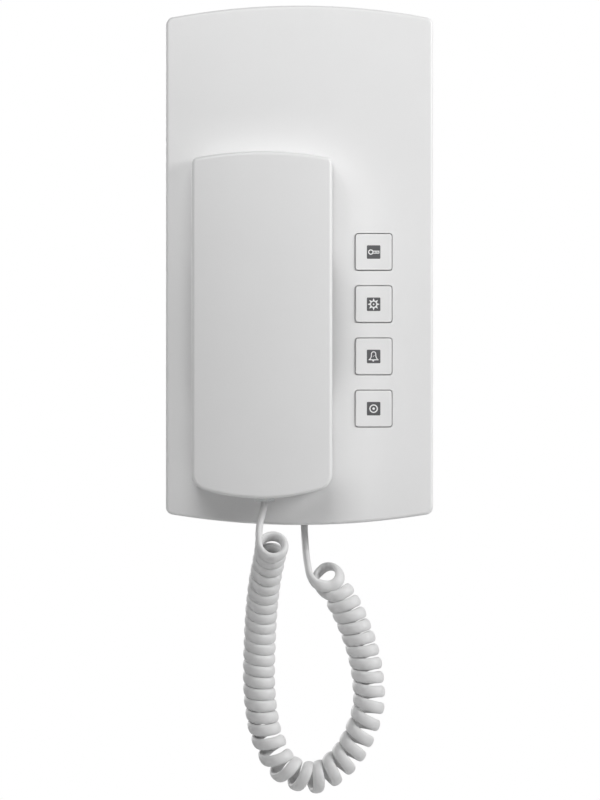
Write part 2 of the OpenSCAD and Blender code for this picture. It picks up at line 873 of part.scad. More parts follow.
module handset_back() {
    color(white_plastic) on_wall() difference() {
        union() {
            difference() {
                handset_prism(0, body_d, split);
                face_form(rest_gap);
                difference() {
                    handset_prism(handset_wall, body_d, split + over);
                    face_form(rest_gap + handset_wall);
                    arch_form(handset_wall);
                    at_handset_screws() post(handset_boss_r + head_gap, body_d, split + over);
                    jack_ribs();
                }
                arch_form(0);
            }
            at_ear() rounded_block(cap_w, ear_h, cap_r, cap_face, grip_back + handset_wall / 2);
            at_mouth() rounded_block(cap_w, mouth_h, cap_r, cap_face, grip_back + handset_wall / 2);
        }
        at_ear() cap_cavity(ear_h, earpiece_r, handset_wall);
        at_mouth() cap_cavity(mouth_h, boot_r, handset_wall);
        at_ear() ear_grille();
        at_mouth() mouth_grille();
        at_handset_screws() post(screw_head_r + head_gap, body_d, handset_seat);
        at_handset_screws() post(screw_r + head_gap, body_d, split + over);
        handset_opening();
    }
}

// The hollow of a cap, with a ring left round what sits in it
module cap_cavity(h, r, wall) {
    difference() {
        rounded_block(cap_w - 2 * wall, h - 2 * wall, cap_r - wall, cap_face + wall, split);
        difference() {
            post(r + seat_gap + seat_ring_t, cap_face, cap_face + wall + seat_ring_h);
            post(r + seat_gap, cap_face, split);
        }
    }
}

module ear_grille() {
    post(grille_hole_r, cap_face - over, cap_face + handset_wall + over);
    for (i = [1 : grille_holes]) rotate(360 * i / grille_holes)
        translate([grille_ring_r, 0]) post(grille_hole_r, cap_face - over, cap_face + handset_wall + over);
}

module mouth_grille() {
    for (i = [0 : mouth_slots - 1]) translate([0, (i - (mouth_slots - 1) / 2) * mouth_slot_pitch])
        block(mouth_slot_l, mouth_slot_w, cap_face - over, cap_face + handset_wall + over);
}

// Two ribs that the handset jack rests on
module jack_ribs() {
    for (s = [0, 1])
        translate([handset_x + handset_jack_x,
            handset_foot + handset_jack_up + jack_l / 4 + s * jack_l / 2])
            block(jack_w, jack_rib_t, body_d, handset_jack_d - jack_h / 2);
}

module earpiece() {
    foot = cap_face + handset_wall + gasket_t;
    color(dark_plastic) on_wall() at_ear() {
        post(earpiece_r, foot, foot + earpiece_t * 2 / 3);
        post(earpiece_r * 2 / 3, foot + earpiece_t * 2 / 3, foot + earpiece_t);
    }
}

module earpiece_gasket() {
    foot = cap_face + handset_wall;
    color(dark_plastic) on_wall() at_ear() difference() {
        post(earpiece_r, foot, foot + gasket_t);
        post(earpiece_r - gasket_w, foot - over, foot + gasket_t + over);
    }
}

module microphone_boot() {
    foot = cap_face + handset_wall;
    color(dark_plastic) on_wall() at_mouth() difference() {
        post(boot_r, foot, foot + boot_t);
        post(microphone_r, foot + boot_floor, foot + boot_t + over);
        post(microphone_r / 2, foot - over, foot + boot_t);
    }
}

module microphone() {
    foot = cap_face + handset_wall + boot_floor;
    color(bright_steel) on_wall() at_mouth() post(microphone_r, foot, foot + microphone_t);
}

module handset_screws() {
    color(bright_steel) on_wall() at_handset_screws() lift(handset_seat) screw(handset_screw_l);
}

// The cord. Its points are chosen by hand in the finished frame: x right, y into the wall, z up.

// From the rear of the handset plug to the first curl
handset_lead_route = [
    [-13.7, -37, -92.6], [-14, -37, -95], [-14.9, -37.1, -98.6], [-15.6, -37.6, -102.2],
    [-15.9, -38.8, -105.4]
];
// Middle of the curly section, a point every two curls, from the handset's side to the base's
curl_route = [
    [-10.6, -41.2, -108.9], [-12, -35, -115.6], [-13.5, -29.8, -123.2], [-14.5, -25.5, -131],
    [-15.2, -22.2, -139.3], [-15.6, -19.9, -147.9], [-15.9, -18.5, -156.9], [-15.8, -17.6, -166.2],
    [-14.9, -17, -175.6], [-12.6, -16.6, -185.6], [-6, -16.3, -197.4], [6.3, -16, -201.4],
    [16.7, -15.8, -194.9], [23.2, -15.6, -185.2], [27.1, -15.4, -173.4], [26.9, -15.2, -162.4],
    [25.1, -15, -152.2], [22, -14.9, -142.9], [18.1, -14.8, -134], [13, -14.8, -125.7],
    [8.8, -14.8, -116.9]
];
// From the last curl to the rear of the base plug
base_lead_route = [
    [7, -21.3, -125.2], [4.4, -20.6, -122.4], [3.2, -18.2, -117.6], [2.4, -14.6, -111],
    [1.9, -11.3, -101.7]
];
curl_turns = 38.25;
curl_steps = 8;
curl_sides = 6;
lead_sides = 8;
// How far the front of a curl hangs below its back, as a share of the distance, and how much
// more at both ends, where the lead pulls at it
curl_lean_share = 0.2;
handset_lean_share = 0.42;
base_lean_share = 0.1;
// How much wider the first curl is drawn, and how far the lead draws the back of the last one
end_open = 0.4;
last_draw = [-4, 0, 6.2];
// The step along the route, in knots, over which its direction is taken
way_step = 0.02;

function unit(v) = v / norm(v);
function across(v, axis) = unit(v - axis * (v * axis));

// A smooth line through the route, at so many knots along it
function knot(route, i) = route[max(0, min(len(route) - 1, i))];
function along(route, s) =
    let (
        i = min(floor(s), len(route) - 2), t = s - i,
        a = knot(route, i - 1), b = knot(route, i), c = knot(route, i + 1), d = knot(route, i + 2)
    )
    (2 * b + (c - a) * t + (2 * a - 5 * b + 4 * c - d) * t * t + (3 * b - a - 3 * c + d) * t * t * t) / 2;

// The curly section after so many turns: its middle, direction, outward and frontward ways
function curl_mid(u) = along(curl_route, u / 2);
function curl_way(u) = unit(along(curl_route, u / 2 + way_step) - along(curl_route, u / 2 - way_step));
function curl_front(u) = across([0, -1, 0], curl_way(u));
function curl_side(u) = cross(curl_way(u), curl_front(u));
function curl_out(u) = cos(360 * u) * curl_side(u) + sin(360 * u) * curl_front(u);
function near_start(u) = max(0, 1 - u / 2);
function near_end(u) = max(0, 1 - (curl_turns - u) / 2);
function curl_lean(u) =
    curl_lean_share + handset_lean_share * near_start(u) + base_lean_share * near_end(u);
function curl_reach(u) = curl_r + end_open * pow(near_start(u), 2);
function ease(t) = let (s = max(0, min(1, t))) s * s * (3 - 2 * s);
function drawn(u) =
    let (left = curl_turns - u) ease(left / 0.5) * (1 - ease((left - 0.6) / 0.4));
function curl_point(u) =
    curl_mid(u) + curl_reach(u) * curl_out(u)
    - curl_way(u) * curl_way(u).z * curl_lean(u) * curl_r * sin(360 * u)
    + last_draw * drawn(u);

curl_count = floor(curl_turns * curl_steps);
curl_line = [for (i = [0 : curl_count]) curl_point(i / curl_steps)];
curl_thick = [for (i = [0 : curl_count]) curl_out(i / curl_steps)];

// The whole cord as one line, and at each point the way in which it is thin
lead_thick = [-1, 0, 0];
cord_line = concat(handset_lead_route, curl_line, base_lead_route);
cord_thick = concat(
    [for (p = handset_lead_route) lead_thick], curl_thick, [for (p = base_lead_route) lead_thick]
);
first_curl = len(handset_lead_route) - 1;
last_curl = first_curl + 1 + curl_count + 1;

// Direction of a line at its point i. The cord leaves both plugs straight down, and the curly
// section starts and ends straight.
function heading(line, i) = unit(line[min(i + 1, len(line) - 1)] - line[max(i - 1, 0)]);
function step_way(i) = unit(cord_line[i + 1] - cord_line[i]);
function cord_heading(i) =
    i == 0 ? [0, 0, -1]
    : i == first_curl ? step_way(i)
    : i == last_curl ? step_way(i - 1)
    : i == len(cord_line) - 1 ? [0, 0, 1]
    : heading(cord_line, i);

// A ring of an oval section about p, thin along thin and wide across it
function ring(p, way, thin, t, w, sides) =
    let (n = across(thin, way), m = cross(way, n), flat = cos(180 / sides))
    [for (k = [0 : sides - 1]) let (a = 360 * (k + 0.5) / sides)
        p + (t / 2 / flat) * cos(a) * n + (w / 2 / (sides == curl_sides ? 1 : flat)) * sin(a) * m];

// A closed tube through rings of equal counts
module skin(rings) {
    n = len(rings[0]);
    last = len(rings) - 1;
    polyhedron(
        points = [for (r = rings) each r],
        faces = concat(
            [for (k = [1 : n - 2]) [0, k, k + 1]],
            [for (k = [1 : n - 2]) [last * n, last * n + k + 1, last * n + k]],
            [for (i = [0 : last - 1], k = [0 : n - 1])
                [i * n + k, (i + 1) * n + k, (i + 1) * n + (k + 1) % n]],
            [for (i = [0 : last - 1], k = [0 : n - 1])
                [i * n + k, (i + 1) * n + (k + 1) % n, i * n + (k + 1) % n]]
        )
    );
}

module tube(line, thick, t, w, sides) {
    skin([for (i = [0 : len(line) - 1]) ring(line[i], heading(line, i), thick[i], t, w, sides)]);
}

function cord_rings(from, to, sides) =
    [for (i = [from : to]) ring(cord_line[i], cord_heading(i), cord_thick[i], cord_t, cord_w, sides)];

module cord_lead_handset() { color(cord_white) skin(cord_rings(0, first_curl, lead_sides)); }

module cord_curl() { color(cord_white) skin(cord_rings(first_curl, last_curl, curl_sides)); }

module cord_lead_base() { color(cord_white) skin(cord_rings(last_curl, len(cord_line) - 1, lead_sides)); }

// Least gap of the curly tube to itself: corner to corner with the next curl, and by its widest
// size with every curl after that
curl_rings = cord_rings(first_curl, last_curl, curl_sides);
curl_end = len(curl_rings) - 1;
near_steps = 2;
next_curl_gap = min([for (i = [0 : curl_end],
    j = [i + curl_steps - near_steps : 1 : min(i + curl_steps + near_steps, curl_end)],
    p = curl_rings[i], q = curl_rings[j]) norm(p - q)]);
far_curl_gap = min([for (i = [first_curl : last_curl],
    j = [i + curl_steps + near_steps + 1 : 1 : last_curl]) norm(cord_line[i] - cord_line[j])]) - cord_w;
echo("least gap of the curls", min(next_curl_gap, far_curl_gap));

// Length of a line from its point i on
function length_from(line, i) =
    i >= len(line) - 1 ? 0 : norm(line[i + 1] - line[i]) + length_from(line, i + 1);
echo("length of the cord", length_from(cord_line, 0));

base_plate();
front_cover();
main_board();
board_parts();
capacitors();
key_switches();
key_domes();
key(0);  // door_key
key(1);  // light_key
key(2);  // call_key
key(3);  // aux_key
plunger(0);  // door_plunger
plunger(1);  // light_plunger
plunger(2);  // call_plunger
plunger(3);  // aux_plunger
hook_plunger();
hook_spring();
hook_switch();
hook_switch_pin();
ringer_basket();
ringer_magnet();
ringer_cone();
terminal_block();
terminal_screws();
board_screws();
cover_screw();
base_jack();
base_plug();
handset_shell();
handset_back();
earpiece();
earpiece_gasket();
microphone();
microphone_boot();
handset_screws();
handset_jack();
handset_plug();
cord_lead_handset();
cord_curl();
cord_lead_base();
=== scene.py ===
import json
import math

import bmesh
import bpy
import numpy as np
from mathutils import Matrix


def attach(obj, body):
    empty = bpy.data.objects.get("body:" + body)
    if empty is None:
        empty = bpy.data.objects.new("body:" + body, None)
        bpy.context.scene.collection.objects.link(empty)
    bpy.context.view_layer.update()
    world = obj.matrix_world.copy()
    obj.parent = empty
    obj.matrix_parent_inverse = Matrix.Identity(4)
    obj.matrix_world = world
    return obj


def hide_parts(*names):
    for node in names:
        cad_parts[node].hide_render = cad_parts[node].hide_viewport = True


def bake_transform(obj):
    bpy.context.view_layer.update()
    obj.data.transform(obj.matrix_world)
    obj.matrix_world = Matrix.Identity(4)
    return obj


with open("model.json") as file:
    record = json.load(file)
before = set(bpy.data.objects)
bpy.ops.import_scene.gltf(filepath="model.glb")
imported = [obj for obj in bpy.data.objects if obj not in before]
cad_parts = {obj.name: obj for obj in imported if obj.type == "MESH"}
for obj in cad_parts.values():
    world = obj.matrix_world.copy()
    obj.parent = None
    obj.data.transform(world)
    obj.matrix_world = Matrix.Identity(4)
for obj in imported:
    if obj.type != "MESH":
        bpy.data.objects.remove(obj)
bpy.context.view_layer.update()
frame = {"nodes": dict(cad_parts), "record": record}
scene = bpy.context.scene
scene.view_settings.view_transform = "Standard"

# Front-view sizes are in millimetres: x right, y up and z out of the wall, as the part is drawn.
MM = 0.001

# Camera: straight at the cover through a long lens, the photograph's upright frame

FILM = 36.0
VIEW_FROM = 4.0
VIEW_MID = (0.0002, -0.0529)
FRAME_HEIGHT = 0.3142
FRAME_DEPTH = 0.024

camera = bpy.data.objects.new("camera", bpy.data.cameras.new("camera"))
scene.collection.objects.link(camera)
camera.data.sensor_width = FILM
camera.data.lens = FILM * (VIEW_FROM - FRAME_DEPTH) / FRAME_HEIGHT
camera.data.clip_end = 20
camera.location = (VIEW_MID[0], -VIEW_FROM, VIEW_MID[1])
camera.rotation_euler = (math.pi / 2, 0, 0)
scene.camera = camera


# Meshes

def stand(points):
    """Front-view millimetres (x, y, z) stood up in the frame, in metres: (x, -z, y)."""
    p = np.asarray(points, float)
    return np.stack([p[..., 0], -p[..., 2], p[..., 1]], axis=-1) * MM


def band(rows):
    """Four-sided faces between successive rows of vertex numbers, each row a closed ring."""
    turned = np.roll(rows, -1, axis=1)
    return np.stack([rows[:-1], turned[:-1], turned[1:], rows[1:]], axis=-1).reshape(-1, 4)


def sheet_faces(grid):
    """Four-sided faces of an open grid of vertex numbers, row by row from the top left."""
    return np.stack([grid[:-1, :-1], grid[1:, :-1], grid[1:, 1:], grid[:-1, 1:]], axis=-1).reshape(-1, 4)


def mesh_of(name, points, faces, sharp=math.radians(35)):
    """A mesh of the points, in metres, with its doubles merged and every edge past `sharp` kept crisp."""
    mesh = bpy.data.meshes.new(name)
    mesh.from_pydata(points.tolist(), [], faces if isinstance(faces, list) else faces.tolist())
    work = bmesh.new()
    work.from_mesh(mesh)
    bmesh.ops.remove_doubles(work, verts=work.verts, dist=1e-7)
    bmesh.ops.dissolve_degenerate(work, edges=work.edges, dist=1e-7)
    work.to_mesh(mesh)
    work.free()
    mesh.shade_smooth()
    mesh.set_sharp_from_angle(angle=sharp)
    return mesh


def piece(name, mesh):
    """The mesh as an object of the scene."""
    obj = bpy.data.objects.new(name, mesh)
    scene.collection.objects.link(obj)
    return obj


def edge_arc(half, top, rise, r, corner, wide):
    """Upper edge of a panel, right to left: a corner arc about (half - r, cy), the wide arc that
    rises by `rise` over the chord, and the other corner. cy puts the corner inside the wide arc:
    (R - r)^2 = (half - r)^2 + (cy - mid)^2."""
    reach = arc_radius(2 * half, rise)
    mid = top - reach
    cx = half - r
    cy = mid + math.sqrt((reach - r) ** 2 - cx * cx)
    turn = math.atan2(cy - mid, cx)
    a = np.linspace(0, turn, 2 * corner + 1)[:-1]
    b = np.linspace(turn, math.pi - turn, wide + 1)
    bend = np.stack([cx + r * np.cos(a), cy + r * np.sin(a)], axis=1)
    arch = np.stack([reach * np.cos(b), mid + reach * np.sin(b)], axis=1)
    return np.concatenate([bend, arch, (bend * [-1, 1])[::-1]])


def arc_radius(chord, rise):
    """Radius of the arc that stands `rise` above its chord."""
    return (chord * chord / 4 + rise * rise) / (2 * rise)


class Outline:
    """A panel's outline in the front view: arched top and foot, straight sides, four corner arcs.
    ring(inset) gives its points, counter-clockwise from the middle of the top right corner, the
    same number at every inset; `across` and `along` count the steps of its top and its sides."""

    LEAST_R = 0.35
    FLAT = 0.002

    def __init__(self, width, top, foot, top_rise, foot_rise, top_r, foot_r,
                 x=0.0, wide=48, tall=96, corner=5):
        self.width, self.top, self.foot, self.x = width, top, foot, x
        self.top_rise, self.foot_rise = max(top_rise, self.FLAT), max(foot_rise, self.FLAT)
        self.top_r, self.foot_r = top_r, foot_r
        self.wide, self.tall, self.corner = wide, tall, corner
        self.across = 2 * corner + wide
        self.along = 2 * corner + tall

    def ring(self, inset=0.0):
        half = self.width / 2 - inset
        top = edge_arc(half, self.top - inset, self.top_rise * (half * 2 / self.width) ** 2,
                       max(self.top_r - inset, self.LEAST_R), self.corner, self.wide)
        foot = -edge_arc(half, -self.foot - inset, self.foot_rise * (half * 2 / self.width) ** 2,
                         max(self.foot_r - inset, self.LEAST_R), self.corner, self.wide)
        t = np.linspace(0, 1, self.tall + 1)[1:-1, None]
        left = top[-1] * (1 - t) + foot[0] * t
        right = foot[-1] * (1 - t) + top[0] * t
        ring = np.roll(np.concatenate([top, left, foot, right]), -self.corner, axis=0)
        return ring + [self.x, 0]

    def fill(self, ring):
        """Grid of points inside a ring, from its four sides: the Coons patch
        (1-v) top + v foot + (1-u) left + u right, less the corners' bilinear patch."""
        m, n = self.across, self.along
        top = ring[:m + 1][::-1]
        left = ring[m:m + n + 1]
        foot = ring[m + n:2 * m + n + 1]
        right = np.concatenate([ring[2 * m + n:], ring[:1]])[::-1]
        u = np.linspace(0, 1, m + 1)[None, :, None]
        v = np.linspace(0, 1, n + 1)[:, None, None]
        ends = ((1 - u) * (1 - v) * top[0] + u * (1 - v) * top[-1]
                + (1 - u) * v * foot[0] + u * v * foot[-1])
        return ((1 - v) * top[None] + v * foot[None]
                + (1 - u) * left[:, None] + u * right[:, None] - ends)


def rounded(w, h, r, x=0.0, y=0.0, wide=10, tall=10, corner=4):
    """Outline of a rounded rectangle about (x, y)."""
    return Outline(w, y + h / 2, y - h / 2, 0, 0, r, r, x, wide, tall, corner)


def solid(name, outline, levels):
    """Closed solid between levels (inset, height), from the rear one to the front one. A height is
    a function of x and y; each end is closed by the outline's grid at that level's height."""
    rings = [outline.ring(inset) for inset, _ in levels]
    heights = [height(r[:, 0], r[:, 1]) for r, (_, height) in zip(rings, levels)]
    wall = np.concatenate([np.column_stack([r, z]) for r, z in zip(rings, heights)])
    count = len(rings[0])
    faces = [band(np.arange(len(wall)).reshape(-1, count))]
    points = [wall]
    start = len(wall)
    for ring, level, flip in ((rings[-1], levels[-1], False), (rings[0], levels[0], True)):
        grid = outline.fill(ring)
        z = level[1](grid[..., 0], grid[..., 1])
        points.append(np.concatenate([grid, z[..., None]], axis=-1).reshape(-1, 3))
        quads = sheet_faces(start + np.arange(z.size).reshape(z.shape))
        faces.append(quads[:, ::-1] if flip else quads)
        start += z.size
    return mesh_of(name, stand(np.concatenate(points)), np.concatenate(faces))


def flat(z):
    """The same height everywhere."""
    return lambda x, y: np.full(np.shape(x), float(z))


def raised(height, by):
    """A height moved up by a fixed amount."""
    return lambda x, y: height(x, y) + by


def round_edge(r, height, steps=5, start=0.0):
    """Levels of a quarter-round front edge of radius r: inset r(1 - cos a), height -r(1 - sin a)."""
    a = np.linspace(0, math.pi / 2, steps + 1)
    return [(start + r * (1 - math.cos(t)), raised(height, -r * (1 - math.sin(t)))) for t in a]


def round_rear(r, height, steps=4):
    """The same at a rear edge, from the rear face outwards."""
    a = np.linspace(math.pi / 2, 0, steps + 1)
    return [(r * (1 - math.cos(t)), raised(height, r * (1 - math.sin(t)))) for t in a]


def turned(name, profile, x=0.0, y=0.0, z=0.0, axis="z", sides=40):
    """Surface of revolution of the profile [(radius, height), ...] about an axis through (x, y, z);
    a profile that starts and ends on the axis is closed, and so is one that ends where it starts."""
    p = np.asarray(profile, float)
    a = np.linspace(0, 2 * math.pi, sides, endpoint=False)
    ring = np.stack([p[:, :1] * np.cos(a), p[:, :1] * np.sin(a), np.repeat(p[:, 1:], sides, 1)], axis=-1)
    if axis == "y":
        ring = np.stack([ring[..., 1], ring[..., 2], ring[..., 0]], axis=-1)
    points = (ring + [x, y, z]).reshape(-1, 3)
    return mesh_of(name, stand(points), band(np.arange(len(points)).reshape(-1, sides)))


def joined(mesh, parts):
    """The mesh with others added to it or cut from it, one after another: [(operation, mesh), ...]."""
    host = piece("host", mesh)
    for operation, part in parts:
        tool = piece("tool", part)
        step = host.modifiers.new("step", "BOOLEAN")
        step.operation = operation
        step.solver = "MANIFOLD"
        step.object = tool
        bpy.context.view_layer.update()
        result = bpy.data.meshes.new_from_object(host.evaluated_get(bpy.context.evaluated_depsgraph_get()))
        host.modifiers.clear()
        host.data = result
        bpy.data.objects.remove(tool)
    result = host.data
    bpy.data.objects.remove(host)
    return result


def finished(name, mesh, body, slot, replaces=(), sharp=math.radians(32)):
    """A piece in its place, with even normals over its broad faces, riding on its body."""
    mesh.name = name
    mesh.materials.clear()
    mesh.materials.append(FINISHES[slot])
    mesh.shade_smooth()
    mesh.set_sharp_from_angle(angle=sharp)
    obj = piece(name, mesh)
    even = obj.modifiers.new("even normals", "WEIGHTED_NORMAL")
    even.keep_sharp = True
    even.weight = 80
    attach(obj, body)
    if replaces:
        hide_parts(*replaces)
    return obj


# Materials

def linear(code):
    """An sRGB hex colour in linear light: c / 12.92 up to 0.04045, ((c + 0.055) / 1.055)^2.4 above."""
    c = np.array([int(code[i:i + 2], 16) for i in (1, 3, 5)]) / 255
    low, high = c / 12.92, ((c + 0.055) / 1.055) ** 2.4
    return (*np.where(c <= 0.04045, low, high).tolist(), 1.0)


def add(tree, kind, inputs=(), **settings):
    """One node with its settings; inputs are (socket, value or another node's output)."""
    node = tree.nodes.new(kind)
    for key, value in settings.items():
        setattr(node, key, value)
    for socket, value in inputs:
        if isinstance(value, bpy.types.NodeSocket):
            tree.links.new(value, node.inputs[socket])
        else:
            node.inputs[socket].default_value = value
    return node


def new_material(name):
    """A material with an empty tree, and the tree."""
    material = bpy.data.materials.new(name)
    material.use_nodes = True
    material.node_tree.nodes.clear()
    return material, material.node_tree


# Textures: each gives a height from 0 to 1 for grains of `size` metres

def speckled(tree, place, size):
    """Fine even noise: spark-eroded and satin mould faces."""
    return add(tree, "ShaderNodeTexNoise", [
        ("Vector", place), ("Scale", 1 / size), ("Detail", 3.0)]).outputs[0]


def drawn(tree, place, size):
    """Noise stretched forty times along z: draw lines and rolling marks."""
    long = add(tree, "ShaderNodeMapping", [("Vector", place), ("Scale", (1.0, 1.0, 0.025))]).outputs[0]
    return add(tree, "ShaderNodeTexNoise", [
        ("Vector", long), ("Scale", 1 / size), ("Detail", 4.0)]).outputs[0]


def celled(tree, place, size):
    """Distance to the nearest cell wall: open-cell foam."""
    return add(tree, "ShaderNodeTexVoronoi", [("Vector", place), ("Scale", 1 / size)],
               feature="DISTANCE_TO_EDGE").outputs[0]


def woven(tree, place, size):
    """The higher of two crossed sets of ribs: glass cloth under a lacquer."""
    ribs = [add(tree, "ShaderNodeTexWave", [("Vector", place), ("Scale", 0.32 / size), ("Distortion", 0.6)],
                bands_direction=axis).outputs[1] for axis in ("X", "Z")]
    return add(tree, "ShaderNodeMath", [(0, ribs[0]), (1, ribs[1])], operation="MAXIMUM").outputs[0]


def matted(tree, place, size):
    """Noise bent by a coarser noise: short fibres that lie every way."""
    bend = add(tree, "ShaderNodeTexNoise", [("Vector", place), ("Scale", 0.3 / size)]).outputs[1]
    way = add(tree, "ShaderNodeMix", [(0, 0.12), (4, place), (5, bend)], data_type="VECTOR").outputs[1]
    return add(tree, "ShaderNodeTexNoise", [("Vector", way), ("Scale", 1 / size), ("Detail", 5.0),
                                            ("Roughness", 0.7)]).outputs[0]


PATCH_SCALE = 28.0


def surface(name, colour, rough, ior, grain, depth,
            texture=speckled, deep=0.03, metal=0.0, spread=0.05, **sockets):
    """A surface whose texture has grains of `grain` mm, `depth` mm high. Its colour is darker by up to
    `deep` in the hollows and in patches a few centimetres wide; roughness varies by `spread` both ways."""
    material, tree = new_material(name)
    place = add(tree, "ShaderNodeTexCoord").outputs["Object"]
    patches = add(tree, "ShaderNodeTexNoise", [("Vector", place), ("Scale", PATCH_SCALE), ("Detail", 2.0)])
    fine = texture(tree, place, grain * MM)
    lift = add(tree, "ShaderNodeMath", [(0, patches.outputs[0]), (1, fine)], operation="ADD")
    amount = add(tree, "ShaderNodeMapRange", [(0, lift.outputs[0]), (1, 0.6), (2, 1.4)])
    pale = linear(colour)
    dark = tuple(c * (1 - deep) for c in pale[:3]) + (1.0,)
    tint = add(tree, "ShaderNodeMix", [(0, amount.outputs[0]), (6, dark), (7, pale)], data_type="RGBA")
    gloss = add(tree, "ShaderNodeMapRange", [(0, fine), (3, rough + spread), (4, rough - spread)])
    relief = add(tree, "ShaderNodeBump", [("Height", fine), ("Strength", 1.0), ("Distance", depth * MM)])
    shader = add(tree, "ShaderNodeBsdfPrincipled", [
        ("Base Color", tint.outputs[2]), ("Roughness", gloss.outputs[0]), ("Normal", relief.outputs[0]),
        ("Metallic", metal), ("IOR", ior)] + list(sockets.items()))
    add(tree, "ShaderNodeOutputMaterial", [("Surface", shader.outputs[0])])
    return material


# Pad-printed ink: a dry dark grey with a faint sheen, and the same in white
INK_GREY = surface("pad-printed ink, dark grey", "#525254", 0.55, 1.5, 0.12, 0.001)
INK_WHITE = surface("pad-printed ink, white", "#F4F4F4", 0.5, 1.5, 0.12, 0.001)
FINISHES = {
    # Injection-moulded ABS, spark-eroded texture: near white, soft sheen, no mirror
    "cover_abs": surface("cover ABS, fine spark-eroded", "#F1F1F1", 0.42, 1.53, 0.35, 0.004),
    # The same resin in a satin mould, coloured a touch greyer than the cover: painted shade, for the
    # handset's face lying darker in the light than the cover's
    "handset_abs": surface("handset ABS, satin, greyed as painted shade", "#ECECEC", 0.38, 1.53, 0.3, 0.003),
    # The satin mould again, a little glossier
    "key_abs": surface("key ABS, satin", "#F0F0F0", 0.36, 1.53, 0.3, 0.003),
    # Plain mould face behind the cover: warmer and flatter
    "base_abs": surface("base ABS, plain", "#E4E4E2", 0.5, 1.53, 0.4, 0.006, deep=0.05),
    # Natural acetal: milky, light goes a little way in
    "plunger_pom": surface("natural acetal", "#ECEBE4", 0.33, 1.48, 0.25, 0.001,
                           **{"Subsurface Weight": 0.2, "Subsurface Scale": 0.0012}),
    # Glass-cloth laminate under green lacquer: the weave glints through
    "board_laminate": surface("glass-epoxy laminate, green", "#1F5B3A", 0.3, 1.5, 0.5, 0.006, woven, 0.35),
    # Filled epoxy: charcoal, chalky, no reflection
    "component_epoxy": surface("moulded epoxy, black", "#1D1D1F", 0.62, 1.55, 0.15, 0.003, deep=0.2),
    # Drawn aluminium can: bright, fine draw lines
    "capacitor_can": surface("drawn aluminium", "#C6C8CB", 0.3, 1.5, 0.15, 0.002, drawn, 0.12, 1.0, 0.08),
    # Glass-filled polyamide: black, pale glass specks at the face
    "switch_nylon": surface("glass-filled polyamide, black", "#222223", 0.55, 1.53, 0.12, 0.003,
                            matted, 0.4),
    # Spring stainless, rolled bright: sharp glints
    "dome_steel": surface("rolled stainless strip", "#BCBDBE", 0.2, 1.5, 0.1, 0.001, drawn, 0.08, 1.0, 0.06),
    # Music wire: grey steel with an oily shine
    "spring_steel": surface("music wire", "#8F9194", 0.28, 1.5, 0.08, 0.002, drawn, 0.15, 1.0, 0.08),
    # Zinc-plated sheet: dull blue-grey with spangle
    "speaker_steel": surface("zinc-plated sheet", "#A8ABAF", 0.4, 1.5, 1.2, 0.002,
                             celled, 0.12, 1.0, 0.1),
    # Sintered ferrite: near black, gritty
    "ferrite": surface("sintered ferrite", "#2B2A2B", 0.78, 1.6, 0.2, 0.01, deep=0.3),
    # Pressed paper pulp: soft dark felted fibres
    "paper_cone": surface("pressed paper pulp", "#3B3A37", 0.92, 1.4, 0.35, 0.03, matted, 0.45,
                          **{"Sheen Weight": 0.25}),
    # Polyamide of a terminal block: light grey, a satin mould
    "terminal_pa": surface("polyamide, light grey", "#B4B7B4", 0.45, 1.53, 0.3, 0.004, deep=0.06),
    # Bright zinc plate: cool, slightly cloudy metal
    "screw_zinc": surface("bright zinc plate", "#C3C7CC", 0.27, 1.5, 0.3, 0.002,
                          deep=0.15, metal=1.0, spread=0.1),
    # Polyester moulding: black with a clean gloss
    "jack_pbt": surface("PBT, black", "#1C1C1E", 0.36, 1.55, 0.25, 0.002, deep=0.15),
    # Clear polycarbonate: a glassy edge, the cord's end seen through it
    "plug_polycarbonate": surface("clear polycarbonate", "#F5F7F7", 0.08, 1.585, 0.8, 0.001, spread=0.03,
                                  **{"Transmission Weight": 0.9}),
    # Deep-drawn aluminium capsule: bright can
    "capsule_aluminium": surface("deep-drawn aluminium", "#C9CACC", 0.25, 1.5, 0.12, 0.002,
                                 drawn, 0.1, 1.0, 0.07),
    # Moulded ABS of the microphone's capsule: dark grey, a fine grain
    "capsule_abs": surface("capsule ABS, dark grey", "#3D3E40", 0.45, 1.53, 0.3, 0.004, deep=0.1),
    # Open-cell polyurethane foam: dull, pitted
    "foam_gasket": surface("open-cell foam, dark", "#343436", 0.95, 1.4, 0.5, 0.12, celled, 0.5,
                           **{"Sheen Weight": 0.2}),
    # Moulded EPDM: matt black with a grey bloom
    "boot_rubber": surface("moulded rubber", "#242425", 0.7, 1.52, 0.3, 0.01, deep=0.2,
                           **{"Sheen Weight": 0.1}),
    # Plasticised PVC, extruded: white skin, a little greyer than the mouldings, waxy sheen
    "cord_pvc": surface("cord PVC, extruded", "#E0E0E0", 0.5, 1.54, 0.5, 0.003,
                        **{"Specular IOR Level": 0.4}),
}


# Cord: one flat cord, from the handset's plug through its curls to the base's plug. The frame's
# millimetres: x right, y to the wall, z up.

